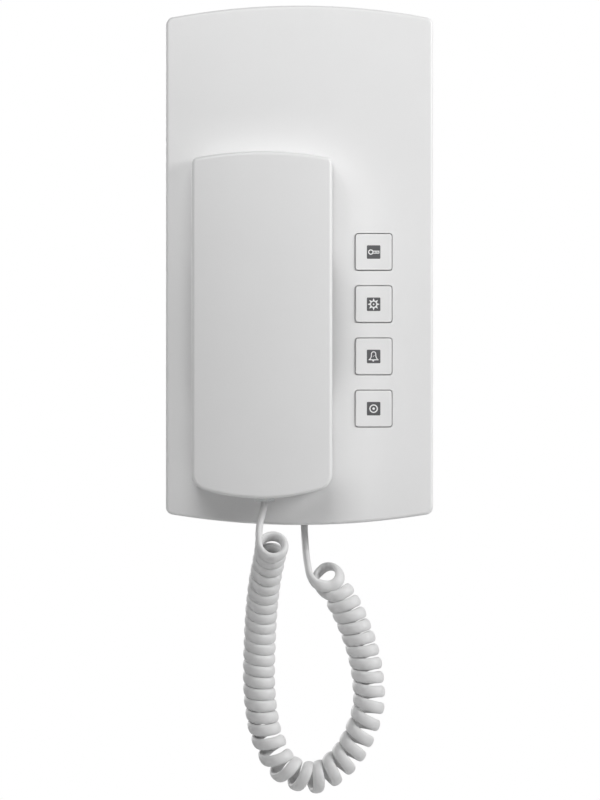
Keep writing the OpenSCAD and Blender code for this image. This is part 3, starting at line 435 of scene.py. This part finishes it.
HANDSET_LEAD = np.array([[-13.7, -37, -92.6], [-14, -37, -95], [-14.9, -37.1, -98.6],
                         [-15.6, -37.6, -102.2], [-15.9, -38.8, -105.4]])
CURL_ROUTE = np.array([
    [-10.6, -41.2, -108.9], [-12, -35, -115.6], [-13.5, -29.8, -123.2], [-14.5, -25.5, -131],
    [-15.2, -22.2, -139.3], [-15.6, -19.9, -147.9], [-15.9, -18.5, -156.9], [-15.8, -17.6, -166.2],
    [-14.9, -17, -175.6], [-12.6, -16.6, -185.6], [-6, -16.3, -197.4], [6.3, -16, -201.4],
    [16.7, -15.8, -194.9], [23.2, -15.6, -185.2], [27.1, -15.4, -173.4], [26.9, -15.2, -162.4],
    [25.1, -15, -152.2], [22, -14.9, -142.9], [18.1, -14.8, -134], [13, -14.8, -125.7],
    [8.8, -14.8, -116.9]])
BASE_LEAD = np.array([[7, -21.3, -125.2], [4.4, -20.6, -122.4], [3.2, -18.2, -117.6],
                      [2.4, -14.6, -111], [1.9, -11.3, -101.7]])
# Turns of the curl, turns between two points of its route, and its radius
CURL_TURNS, KNOT_TURNS, CURL_R = 38.25, 2, 5.0
# How far a curl leans down the route, as a share of its radius: everywhere, and more within
# END_TURNS of the handset's end and of the base's end. The first curl also opens by END_OPEN mm.
CURL_LEAN, HANDSET_LEAN, BASE_LEAN, END_TURNS, END_OPEN = 0.2, 0.42, 0.1, 2, 0.4
# The base's lead draws up the back of the last curl: how far, and the turns before the end over
# which the draw comes in, where it begins to go, and over which it goes
LAST_DRAW = np.array([-4, 0, 6.2])
DRAW_IN, DRAW_UNTIL, DRAW_OUT = 0.5, 0.6, 0.4
# Share of that draw which also tips the flat cord, and share of the lead in which it twists edge-on
TILT, TWIST = 0.6, 0.35
# Section of the cord, and the power that rounds it; steps of the mesh
CORD_W, CORD_T, CORD_ROUND = 4.6, 2.75, 2.15
STEPS_PER_TURN, LEAD_STEP, CORD_SIDES = 40, 0.6, 20
# Turn at which the handset's piece meets the base's, and the step, in knots of the route, by which the
# route's way is taken
JOIN_TURN = 20.5
WAY_STEP = 0.02


def unit(v):
    """The vectors at length one."""
    return v / np.linalg.norm(v, axis=-1, keepdims=True)


def along(route, s):
    """Catmull-Rom line at s knots: (2b + (c-a)t + (2a-5b+4c-d)t^2 + (3b-a-3c+d)t^3) / 2, ends doubled."""
    s = np.asarray(s, float)
    last = len(route) - 1
    i = np.minimum(np.floor(s), last - 1).astype(int)
    t = (s - i)[..., None]
    a, b, c, d = (route[np.clip(i + k, 0, last)] for k in (-1, 0, 1, 2))
    return (2 * b + (c - a) * t + (2 * a - 5 * b + 4 * c - d) * t ** 2
            + (3 * b - a - 3 * c + d) * t ** 3) / 2


def ease(t):
    """Smooth step: 3 t^2 - 2 t^3, from 0 to 1."""
    t = np.clip(t, 0, 1)
    return t * t * (3 - 2 * t)


def curls(u):
    """Centre and thin direction of the curl after u turns: the route's point plus r times
    cos(2 pi u) side + sin(2 pi u) front, with the front leaning down the route by a share of r.
    The lead draws up the back of the last turn, and the first one opens out a little."""
    knot = u / KNOT_TURNS
    mid = along(CURL_ROUTE, knot)
    way = unit(along(CURL_ROUTE, knot + WAY_STEP) - along(CURL_ROUTE, knot - WAY_STEP))
    front = unit(np.array([0.0, -1.0, 0.0]) - way * -way[:, 1:2])
    side = np.cross(way, front)
    turn = (2 * math.pi * u)[:, None]
    out = np.cos(turn) * side + np.sin(turn) * front
    left = (CURL_TURNS - u)[:, None]
    first, last = (np.maximum(0, 1 - turns / END_TURNS) for turns in (u[:, None], left))
    lean = CURL_LEAN + HANDSET_LEAN * first + BASE_LEAN * last
    reach = CURL_R + END_OPEN * first ** 2
    drawn_up = LAST_DRAW * ease(left / DRAW_IN) * (1 - ease((left - DRAW_UNTIL) / DRAW_OUT))
    off = drawn_up - way * way[:, 2:] * lean * CURL_R * np.sin(turn)
    thin = CURL_R * out + TILT * off * ease(END_TURNS - left)
    return mid + reach * out + off, unit(thin)


def through(points, first_way, last_way):
    """Smooth line through the points: between two of them the cubic Hermite curve whose end
    directions are parallel to the chords past them, each as long as the stretch."""
    p = np.asarray(points, float)
    ways = np.concatenate([[first_way], unit(p[2:] - p[:-2]), [last_way]])
    line = []
    for a, b, m, n in zip(p[:-1], p[1:], ways[:-1], ways[1:]):
        size = np.linalg.norm(b - a)
        t = np.linspace(0, 1, max(2, round(size / LEAD_STEP)), endpoint=False)[:, None]
        line.append((2 * t ** 3 - 3 * t ** 2 + 1) * a + (3 * t ** 2 - 2 * t ** 3) * b
                    + size * ((t ** 3 - 2 * t ** 2 + t) * m + (t ** 3 - t ** 2) * n))
    return np.concatenate(line)


def cord_line():
    """Centres and thin directions of the whole cord, and the number of the point at the join."""
    u = np.arange(0, CURL_TURNS + 1e-9, 1 / STEPS_PER_TURN)
    curl, out = curls(u)
    start = through(np.concatenate([HANDSET_LEAD, curl[:1]]), (0, 0, -1), unit(curl[1] - curl[0]))
    end = through(np.concatenate([curl[-1:], BASE_LEAD]), unit(curl[-1] - curl[-2]), (0, 0, 1))[1:]
    end = np.concatenate([end, BASE_LEAD[-1:]])
    edge_on = np.array([-1.0, 0.0, 0.0])
    twist = ease(np.linspace(0, 1, len(end))[:, None] / TWIST)
    thin = np.concatenate([np.repeat(edge_on[None], len(start), 0), out,
                           out[-1] * (1 - twist) + edge_on * twist])
    join = len(start) + round(JOIN_TURN * STEPS_PER_TURN)
    return np.concatenate([start, curl, end]), thin, join


def cord_mesh(name, line, thin):
    """Tube along the line. Its section is the rounded flat |2x / t|^q + |2y / w|^q = 1, with the
    thickness t along `thin`."""
    way = unit(np.gradient(line, axis=0))
    across = unit(thin - way * np.sum(thin * way, axis=1, keepdims=True))
    beside = np.cross(way, across)
    a = 2 * math.pi * np.arange(CORD_SIDES) / CORD_SIDES
    c, s = np.cos(a), np.sin(a)
    x = np.sign(c) * np.abs(c) ** (2 / CORD_ROUND) * CORD_T / 2
    y = np.sign(s) * np.abs(s) ** (2 / CORD_ROUND) * CORD_W / 2
    rings = line[:, None] + x[None, :, None] * across[:, None] + y[None, :, None] * beside[:, None]
    count = rings.shape[1]
    numbers = np.arange(rings.shape[0] * count).reshape(-1, count)
    faces = band(numbers).tolist() + [numbers[0][::-1].tolist(), numbers[-1].tolist()]
    return mesh_of(name, rings.reshape(-1, 3) * MM, faces, sharp=math.radians(60))


LINE, THIN, JOIN = cord_line()
handset_line, base_line = LINE[:JOIN + 1], LINE[JOIN:]
handset_cord = piece("cord_handset_side", cord_mesh("cord_handset_side", handset_line, THIN[:JOIN + 1]))
base_cord = piece("cord_base_side", cord_mesh("cord_base_side", base_line, THIN[JOIN:]))
for cord in (handset_cord, base_cord):
    cord.data.materials.append(FINISHES["cord_pvc"])
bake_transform(handset_cord)
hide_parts("cord_lead_handset")
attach(base_cord, "base")
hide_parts("cord_curl", "cord_lead_base")


# Front cover. From here on in front-view millimetres; _X and _Y are middles, _R radii.

BODY_W, COVER_TOP, COVER_FOOT = 105.0, 102.0, -102.0
TOP_CROWN, FOOT_CROWN, CORNER_R = 5.0, 4.5, 3.0
FACE_R, FACE_MID = 552.5, -528.0
COVER_WALL, WALL_SHADOW, SIDE_FOOT = 2.2, 0.8, 1.6
COVER_REAR_R, COVER_EDGE_R = 0.4, 1.1
# The handset's ear and mouth caps, and the pockets that they rest in
HANDSET_X, EAR_Y, MOUTH_Y = -14.69, 20.3, -67.4
CAP_W, EAR_H, MOUTH_H, CAP_R, CAP_FACE = 44.0, 34.0, 28.0, 6.0, 17.9
POCKET_GAP, LIFT_ROOM, POCKET_FLOOR, POCKET_BACK = 0.6, 3.43, 17.3, 15.5
POCKET_WALL, POCKET_LIP = 1.8, 0.9
HOOK_X, HOOK_Y, HOOK_BORE = 1.51, 16.5, 2.58
# Keys, their wells, and the height of their flanges and plungers
KEY_X, KEY_W, KEY_R, KEY_GAP, KEY_LIP = 29.11, 14.2, 1.0, 0.3, 0.22
KEYS_Y = [5.2, -15.3, -35.8, -56.3]
FLANGE_TOP, PLUNGER_TOP, KEY_PROUD = 20.9, 11.1, 0.5
# Sound slots of the ringer in the cover's right side
RINGER_Y, SLOTS, SLOT_PITCH, SLOT_W, SLOT_D, SLOT_RISE = 77.0, 6, 3.4, 1.6, 10.0, 6.0
# Cover screw in the foot, in its cup, and the plug's way beside it
SCREW_X, SCREW_SEAT, SCREW_DEPTH, CUP_R, SINK_R, SHANK_R = 26.0, -98.8, 9.0, 4.6, 2.9, 1.6
JACK_X, PLUG_W, PLUG_H, PLUG_GAP, PLUG_MID = 1.9, 7.7, 6.6, 0.2, 11.3


def cover_face(x, y):
    """Height of the cover's face: an upright cylinder, z = mid + sqrt(R^2 - x^2)."""
    return FACE_MID + np.sqrt(FACE_R ** 2 - x ** 2)


def well(name, outline, floor, height, flare, over=2.0):
    """Cutter of a hole in a face: straight sides up from the floor, and a rim that opens out by
    `flare` in a quarter round where it meets the face."""
    a = np.linspace(0, math.pi / 2, 5)
    rim = [(-flare * (1 - math.cos(t)), raised(height, flare * (math.sin(t) - 1))) for t in a]
    return solid(name, outline, [(0, flat(floor))] + rim + [(-flare, raised(height, over))])


def cradle(h, y):
    """Outline of a cradle pocket, with more room above the cap than below."""
    return rounded(CAP_W + 2 * POCKET_GAP, h + POCKET_GAP + LIFT_ROOM, CAP_R + POCKET_GAP,
                   HANDSET_X, y + (LIFT_ROOM - POCKET_GAP) / 2, 24, 20, 6)


def grown(outline, by):
    """The same rounded outline, larger all round."""
    outline.width += 2 * by
    outline.top += by
    outline.foot -= by
    outline.top_r += by
    outline.foot_r += by
    return outline


def front_cover():
    """The cover's shell with its pockets, key wells, screw cup, plug way and sound slots."""
    outline = Outline(BODY_W, COVER_TOP, COVER_FOOT, TOP_CROWN, FOOT_CROWN, CORNER_R, CORNER_R,
                      0, 70, 136, 6)
    side = [(0, lambda x, y, t=t: SIDE_FOOT + t * (cover_face(x, y) - COVER_EDGE_R - SIDE_FOOT))
            for t in (0.25, 0.5, 0.75)]
    body = solid("cover", outline, round_rear(COVER_REAR_R, flat(WALL_SHADOW)) + side
                 + round_edge(COVER_EDGE_R, cover_face))
    hollow = solid("hollow", outline,
                   [(COVER_WALL, flat(-2)), (COVER_WALL, raised(cover_face, -COVER_WALL))])
    parts = [("DIFFERENCE", hollow)]
    for h, y in ((EAR_H, EAR_Y), (MOUTH_H, MOUTH_Y)):
        tub = grown(cradle(h, y), POCKET_WALL)
        parts.append(("UNION", solid("tub", tub, [(0, flat(POCKET_BACK)), (0, raised(cover_face, -1.0))])))
    parts.append(("UNION", turned("cup", [(0, -1), (CUP_R, -1), (CUP_R, 2.8), (0, 2.8)],
                                  SCREW_X, SCREW_SEAT, SCREW_DEPTH, "y")))
    for h, y in ((EAR_H, EAR_Y), (MOUTH_H, MOUTH_Y)):
        parts.append(("DIFFERENCE", well("pocket", cradle(h, y), POCKET_FLOOR, cover_face, POCKET_LIP)))
    parts.append(("DIFFERENCE", turned("bore", [(0, 14), (HOOK_BORE, 14), (HOOK_BORE, 18.5), (0, 18.5)],
                                       HOOK_X, HOOK_Y)))
    for y in KEYS_Y:
        hole = rounded(KEY_W + 2 * KEY_GAP, KEY_W + 2 * KEY_GAP, KEY_R + KEY_GAP, KEY_X, y)
        parts.append(("DIFFERENCE", well("key well", hole, FLANGE_TOP - 2, cover_face, KEY_LIP)))
    opening = rounded(PLUG_W + 2 * PLUG_GAP, PLUG_H + 2 * PLUG_GAP, 0.4, JACK_X, PLUG_MID)
    parts.append(("DIFFERENCE", along_y(solid("plug way", opening, [(0, flat(-1)), (0, flat(8))]), -104)))
    parts.append(("DIFFERENCE", turned("recess", [(0, -6), (SINK_R, -6), (SINK_R, 0), (0, 0)],
                                       SCREW_X, SCREW_SEAT, SCREW_DEPTH, "y")))
    parts.append(("DIFFERENCE", turned("screw way", [(0, -1), (SHANK_R, -1), (SHANK_R, 4), (0, 4)],
                                       SCREW_X, SCREW_SEAT, SCREW_DEPTH, "y")))
    for i in range(SLOTS):
        y = RINGER_Y + (i - (SLOTS - 1) / 2) * SLOT_PITCH
        slot = rounded(SLOT_W, SLOT_D, 0.75, y, SLOT_RISE + SLOT_D / 2, 4, 6, 4)
        parts.append(("DIFFERENCE", along_x(solid("slot", slot, [(0, flat(0)), (0, flat(10))]), 48)))
    return joined(body, parts)


def along_y(mesh, start):
    """A solid drawn in the view from below stood along y: its (x, z) outline, with its heights
    from `start` up."""
    points = np.empty(len(mesh.vertices) * 3)
    mesh.vertices.foreach_get("co", points)
    x, depth, height = (points.reshape(-1, 3) / MM).T
    moved = stand(np.stack([x, start - depth, height], axis=1))
    mesh.vertices.foreach_set("co", moved.ravel())
    mesh.flip_normals()
    return mesh


def along_x(mesh, start):
    """A solid drawn in the side view laid along x: its (y, z) outline, with its heights from
    `start` to the right."""
    points = np.empty(len(mesh.vertices) * 3)
    mesh.vertices.foreach_get("co", points)
    y, depth, height = (points.reshape(-1, 3) / MM).T
    moved = stand(np.stack([start - depth, y, height], axis=1))
    mesh.vertices.foreach_set("co", moved.ravel())
    return mesh


finished("cover", front_cover(), "base", "cover_abs", ["front_cover"])


# Keys: a crowned cap on a flange, with its printed mark

FLANGE_T, FLANGE_OUT, KEY_EDGE_R, KEY_WALL, STEM_R = 1.4, 1.0, 0.35, 1.5, 2.0


def key_face(x, y):
    """Height of a key's crowned face: the cover's cylinder, larger by what the key stands proud."""
    return FACE_MID + np.sqrt((FACE_R + KEY_PROUD) ** 2 - x ** 2)


def key_cap(name, y):
    """A hollow cap with a flange round its foot and a stem down to its plunger."""
    outline = rounded(KEY_W, KEY_W, KEY_R, KEY_X, y, 16, 16, 4)
    foot = FLANGE_TOP - FLANGE_T
    flange = [(-FLANGE_OUT, flat(foot)), (-FLANGE_OUT, flat(FLANGE_TOP)), (0, flat(FLANGE_TOP))]
    cap = solid(name, outline, flange + round_edge(KEY_EDGE_R, key_face, 4))
    inside = KEY_W - 2 * KEY_WALL
    hollow = solid("hollow", rounded(inside, inside, 0.5, KEY_X, y),
                   [(0, flat(foot - 1)), (0, flat(FLANGE_TOP))])
    top = FLANGE_TOP + 1
    stem = turned("stem", [(0, PLUNGER_TOP), (STEM_R, PLUNGER_TOP), (STEM_R, top), (0, top)], KEY_X, y)
    return joined(cap, [("DIFFERENCE", hollow), ("UNION", stem)])


# Grey square of a mark, and how high it and the white lines lie; the ink is drawn thicker than it is,
# so that it shows over the key's face, and its foot is sunk into it
MARK_W, MARK_R, INK_H, STROKE_H, INK_SUNK = 5.3, 0.12, 0.02, 0.045, -0.1
RING, RAYS, BELL_FOOT, DASH = 24, 8, -1.3, 0.4


def arc_points(x, y, r, start=0.0, end=2 * math.pi, count=RING):
    """Points along an arc about (x, y)."""
    a = np.linspace(start, end, count + 1)
    return np.stack([x + r * np.cos(a), y + r * np.sin(a)], axis=1)


def dome_points():
    """Outline of a bell: sides that flare as x = 0.85 + 0.9 t^3, t from the shoulder to the lip."""
    t = np.linspace(1, 0, 9)
    side = np.stack([0.85 + 0.9 * t ** 3, BELL_FOOT + 2.3 * (1 - t)], axis=1)
    crown = arc_points(0, 1.0, 0.85, 0, math.pi, 10)[1:-1]
    return np.concatenate([side, crown, (side * [-1, 1])[::-1]])


# Each mark is a list of lines: points, then the line's width at each of them
MARKS = {
    "door": [(arc_points(-1.1, 0, 0.85), 0.42), ([[-0.25, 0.36], [2.25, 0.36]], 0.34),
             ([[2.1, 0.36], [2.1, -0.5]], 0.34), ([[-0.25, -0.42], [2.25, -0.42]], 0.34),
             ([[0.6, -0.05], [1.5, -0.05]], 0.16)],
    "light": [(arc_points(0, 0, 1.2), 0.36), (arc_points(0, 0, 0.16), 0.3)] + [
        ([[1.3 * math.cos(a), 1.3 * math.sin(a)], [2.3 * math.cos(a), 2.3 * math.sin(a)]], (0.95, 0.12))
        for a in np.arange(RAYS) * 2 * math.pi / RAYS],
    "call": [(dome_points(), 0.36), ([[-1.95, BELL_FOOT], [1.95, BELL_FOOT]], 0.4),
             (arc_points(-0.15, BELL_FOOT - 0.3, 0.2), 0.4), ([[-0.3, -0.2], [0.35, 0.5]], 0.12)],
    "aux": [(arc_points(0, 0, 1.45), 0.46), (arc_points(0, 0, 0.25), 0.5)],
}


def line_solid(points, width, y, lift):
    """Vertices and faces of a printed line about the key at height y: a thin slab whose centre runs
    along the points, `lift` above the key's face and sunk a little into it."""
    p = np.asarray(points, float)
    if len(p) == 2:
        steps = max(2, round(np.linalg.norm(p[-1] - p[0]) / DASH))
        p = p[0] + (p[1] - p[0]) * np.linspace(0, 1, steps + 1)[:, None]
    half = np.interp(np.linspace(0, 1, len(p)), (0, 1), np.broadcast_to(width, 2)) / 2
    way = unit(np.gradient(p, axis=0))
    if np.allclose(p[0], p[-1]):
        way[0] = way[-1] = unit(p[1] - p[-2])
    beside = np.stack([-way[:, 1], way[:, 0]], axis=1) * half[:, None]
    left, right = p + beside + [KEY_X, y], p - beside + [KEY_X, y]
    rows = [np.column_stack([side, key_face(side[:, 0], side[:, 1]) + up])
            for side, up in ((left, INK_SUNK), (left, lift), (right, lift), (right, INK_SUNK))]
    rings = np.stack(rows, axis=1)
    numbers = np.arange(len(p) * 4).reshape(-1, 4)
    caps = [] if np.allclose(p[0], p[-1]) else [numbers[0].tolist(), numbers[-1][::-1].tolist()]
    return rings.reshape(-1, 3), band(numbers)[:, ::-1].tolist() + caps


def printed(key, y):
    """The key's mark: a grey square and white lines on it."""
    square = solid("square", rounded(MARK_W, MARK_W, MARK_R, KEY_X, y, 6, 6, 2),
                   [(0, raised(key_face, INK_SUNK)), (0, raised(key_face, INK_H))])
    ground = finished(f"{key}_mark_ground", square, f"{key}_button", "key_abs")
    points, faces = [], []
    for line, width in MARKS[key]:
        more, quads = line_solid(line, width, y, STROKE_H)
        start = sum(map(len, points))
        points.append(more)
        faces += [[start + i for i in quad] for quad in quads]
    mesh = mesh_of("lines", stand(np.concatenate(points)), faces)
    lines = finished(f"{key}_mark_lines", mesh, f"{key}_button", "key_abs")
    for obj, ink in ((ground, INK_GREY), (lines, INK_WHITE)):
        obj.data.materials[0] = ink


for key, y in zip(("door", "light", "call", "aux"), KEYS_Y):
    finished(f"{key}_key_cap", key_cap("cap", y), f"{key}_button", "key_abs", [f"{key}_key"])
    printed(key, y)


# Handset: a front and a rear half that meet at SPLIT with a fine groove between them

HANDSET_W, HANDSET_TOP, HANDSET_FOOT = 55.0, 44.3, -91.4
HANDSET_TOP_CROWN, HANDSET_FOOT_CROWN, HANDSET_TOP_R, HANDSET_FOOT_R = 2.8, 5.0, 2.5, 6.5
FRONT_R, FRONT_MID, SPLIT = 190.06, -143.56, 36.5
HANDSET_WALL, REST_GAP, HANDSET_EDGE_R, HANDSET_REAR_R, GROOVE = 2.0, 0.5, 1.3, 0.8, 0.22
# Finger arch between the caps: an arc about (ARCH_Y, ARCH_MID) in the side view
ARCH_Y, ARCH_R, ARCH_MID, ARCH_SOFT = -25.05, 49.56, -16.76, 1.2
# Caps, their sound holes, and the two screws' bosses at equal distances from the arch's middle
CAP_EDGE_R, CAP_TOP, CAP_WALL = 1.3, 25.8, 2.0
EAR_HOLES, EAR_RING, EAR_HOLE_R, HOLE_LIP = 8, 5.0, 1.0, 0.3
MOUTH_SLOTS, MOUTH_PITCH, MOUTH_SLOT_W, MOUTH_SLOT_H, MOUTH_SLOT_R = 3, 3.0, 7.0, 1.4, 0.65
BOSS_APART, BOSS_R, BOSS_SEAT = 17.01, 3.7, 34.2


def handset_face(x, y):
    """Height of the handset's front: an upright cylinder about its own middle."""
    return FRONT_MID + np.sqrt(FRONT_R ** 2 - (x - HANDSET_X) ** 2)


def handset_rear(x, y):
    """Height of the handset's rear: clear of the cover's face, or the finger arch where that is
    higher, with a soft corner: max(a, b) + s / 2 exp(-1.5 |a - b| / s)."""
    rest = cover_face(x, y) + REST_GAP
    arch = ARCH_MID + np.sqrt(np.maximum(ARCH_R ** 2 - (y - ARCH_Y) ** 2, 0))
    apart = np.abs(rest - arch) / ARCH_SOFT
    return np.maximum(rest, arch) + ARCH_SOFT / 2 * np.exp(-apart * 1.5)


def handset_outline(wide=44, tall=110):
    """Outline of both halves."""
    return Outline(HANDSET_W, HANDSET_TOP, HANDSET_FOOT, HANDSET_TOP_CROWN, HANDSET_FOOT_CROWN,
                   HANDSET_TOP_R, HANDSET_FOOT_R, HANDSET_X, wide, tall, 7)


def handset_shell():
    """The front half: a hollow shell with a rounded front edge."""
    outline = handset_outline()
    levels = [(GROOVE, flat(SPLIT)), (0, flat(SPLIT + GROOVE)), (0, flat(SPLIT + 3))]
    shell = solid("shell", outline, levels + round_edge(HANDSET_EDGE_R, handset_face, 6))
    hollow = solid("hollow", handset_outline(20, 40),
                   [(HANDSET_WALL, flat(SPLIT - 2)), (HANDSET_WALL, raised(handset_face, -HANDSET_WALL))])
    return joined(shell, [("DIFFERENCE", hollow)])


def handset_back():
    """The rear half: the finger arch, the two caps with their sound holes, and the screws' wells."""
    levels = (round_rear(HANDSET_REAR_R, handset_rear)
              + [(0, lambda x, y: (handset_rear(x, y) + SPLIT) / 2),
                 (0, flat(SPLIT - GROOVE)), (GROOVE, flat(SPLIT))])
    back = solid("back", handset_outline(), levels)
    hollow = solid("hollow", handset_outline(),
                   [(HANDSET_WALL, raised(handset_rear, HANDSET_WALL)), (HANDSET_WALL, flat(SPLIT + 2))])
    parts = [("DIFFERENCE", hollow)]
    for h, y in ((EAR_H, EAR_Y), (MOUTH_H, MOUTH_Y)):
        cap = rounded(CAP_W, h, CAP_R, HANDSET_X, y, 24, 20, 6)
        rim = round_rear(CAP_EDGE_R, flat(CAP_FACE))
        parts.append(("UNION", solid("cap", cap, rim + [(0, flat(CAP_TOP))])))
        room = rounded(CAP_W - 2 * CAP_WALL, h - 2 * CAP_WALL, CAP_R - CAP_WALL, HANDSET_X, y, 12, 10, 5)
        parts.append(("DIFFERENCE", solid("room", room, [
            (0, flat(CAP_FACE + CAP_WALL)), (0, flat(SPLIT + 2))])))
    lip, wide_r = CAP_FACE + 0.35, EAR_HOLE_R + HOLE_LIP
    ear_hole = [(0, 16), (wide_r, 16), (wide_r, CAP_FACE), (EAR_HOLE_R, lip), (EAR_HOLE_R, 21), (0, 21)]
    for i in range(EAR_HOLES + 1):
        a = 2 * math.pi * i / EAR_HOLES
        r = EAR_RING if i else 0
        parts.append(("DIFFERENCE", turned("ear hole", ear_hole, HANDSET_X + r * math.cos(a),
                                           EAR_Y + r * math.sin(a), sides=20)))
    for i in range(MOUTH_SLOTS):
        y = MOUTH_Y + MOUTH_PITCH * (i - 1)
        slot = rounded(MOUTH_SLOT_W, MOUTH_SLOT_H, MOUTH_SLOT_R, HANDSET_X, y, 6, 2, 4)
        parts.append(("DIFFERENCE", solid("mouth slot", slot, [
            (-HOLE_LIP, flat(16)), (-HOLE_LIP, flat(CAP_FACE)), (0, flat(lip)), (0, flat(21))])))
    screw_well = [(0, 20), (SINK_R, 20), (SINK_R, BOSS_SEAT), (SHANK_R, BOSS_SEAT), (SHANK_R, 38), (0, 38)]
    for y in (ARCH_Y - BOSS_APART, ARCH_Y + BOSS_APART):
        boss = [(0, 30), (BOSS_R, 30), (BOSS_R, SPLIT), (0, SPLIT)]
        parts.append(("UNION", turned("boss", boss, HANDSET_X, y)))
        parts.append(("DIFFERENCE", turned("screw well", screw_well, HANDSET_X, y)))
    return joined(back, parts)


finished("handset_front", handset_shell(), "handset", "handset_abs", ["handset_shell"])
finished("handset_rear", handset_back(), "handset", "handset_abs", ["handset_back"])


# The other nodes keep their shape and take their material

for part in frame["record"]["subparts"]:
    node = frame["nodes"][part["node"]]
    node.data.materials.clear()
    node.data.materials.append(FINISHES[part["material_slot"]])


# Light, world and floor: a key light over the camera's left, a side light from the right that makes
# the broad fade over the cover, and a light behind for the other sides; no light from the sky

KEY_POWER, KEY_PLACE, KEY_SIZE = 1.68, (-0.099, -0.466, 0.295), (0.36, 0.36)
SIDE_POWER, SIDE_PLACE, SIDE_SIZE = 5.2, (0.795, -0.289, 0.278), (0.3, 0.3)
BACK_POWER, BACK_PLACE, BACK_SIZE = 9.0, (-0.8, 1.1, 0.4), (0.8, 0.8)
KEY_TARGET, TARGET = (0, 0, 0.02), (0, 0, -0.03)


def lamp(name, power, place, size, target=TARGET):
    """A rectangular soft box that looks at the target."""
    data = bpy.data.lights.new(name, "AREA")
    data.shape = "RECTANGLE"
    data.size, data.size_y = size
    data.energy = power
    obj = bpy.data.objects.new(name, data)
    scene.collection.objects.link(obj)
    obj.location = place
    way = np.subtract(place, target)
    flat_way = math.hypot(way[0], way[1])
    obj.rotation_euler = (math.atan2(flat_way, way[2]), 0, math.atan2(way[0], -way[1]))


lamp("key light", KEY_POWER, KEY_PLACE, KEY_SIZE, KEY_TARGET)
lamp("side light", SIDE_POWER, SIDE_PLACE, SIDE_SIZE)
lamp("back light", BACK_POWER, BACK_PLACE, BACK_SIZE)

# The sky is white to the camera and in reflections, and gives no light
world = bpy.data.worlds.new("studio")
scene.world = world
world.use_nodes = True
sky = world.node_tree
sky.nodes.clear()
path = add(sky, "ShaderNodeLightPath")
seen = add(sky, "ShaderNodeMath", [(0, path.outputs["Is Camera Ray"]), (1, path.outputs["Is Glossy Ray"])],
           operation="MAXIMUM")
seen = add(sky, "ShaderNodeMath", [(0, seen.outputs[0]), (1, path.outputs["Is Transmission Ray"])],
           operation="MAXIMUM")
glow = add(sky, "ShaderNodeBackground", [("Color", (1, 1, 1, 1)), ("Strength", seen.outputs[0])])
add(sky, "ShaderNodeOutputWorld", [("Surface", glow.outputs[0])])

# A pale floor under the hanging loop, clear from below
FLOOR_X, FLOOR_Y, FLOOR_Z = 0.6, 0.4, -0.26
floor_points = np.array([[-FLOOR_X, -FLOOR_Y, FLOOR_Z], [FLOOR_X, -FLOOR_Y, FLOOR_Z],
                         [FLOOR_X, FLOOR_Y, FLOOR_Z], [-FLOOR_X, FLOOR_Y, FLOOR_Z]])
floor = piece("floor", mesh_of("floor", floor_points, [[0, 1, 2, 3]]))
floor_white, tree = new_material("pale paper floor")
paper = add(tree, "ShaderNodeBsdfDiffuse", [("Color", linear("#F4F4F4"))])
clear = add(tree, "ShaderNodeBsdfTransparent")
behind = add(tree, "ShaderNodeNewGeometry").outputs["Backfacing"]
mixed = add(tree, "ShaderNodeMixShader", [(0, behind), (1, paper.outputs[0]), (2, clear.outputs[0])])
add(tree, "ShaderNodeOutputMaterial", [("Surface", mixed.outputs[0])])
floor.data.materials.append(floor_white)
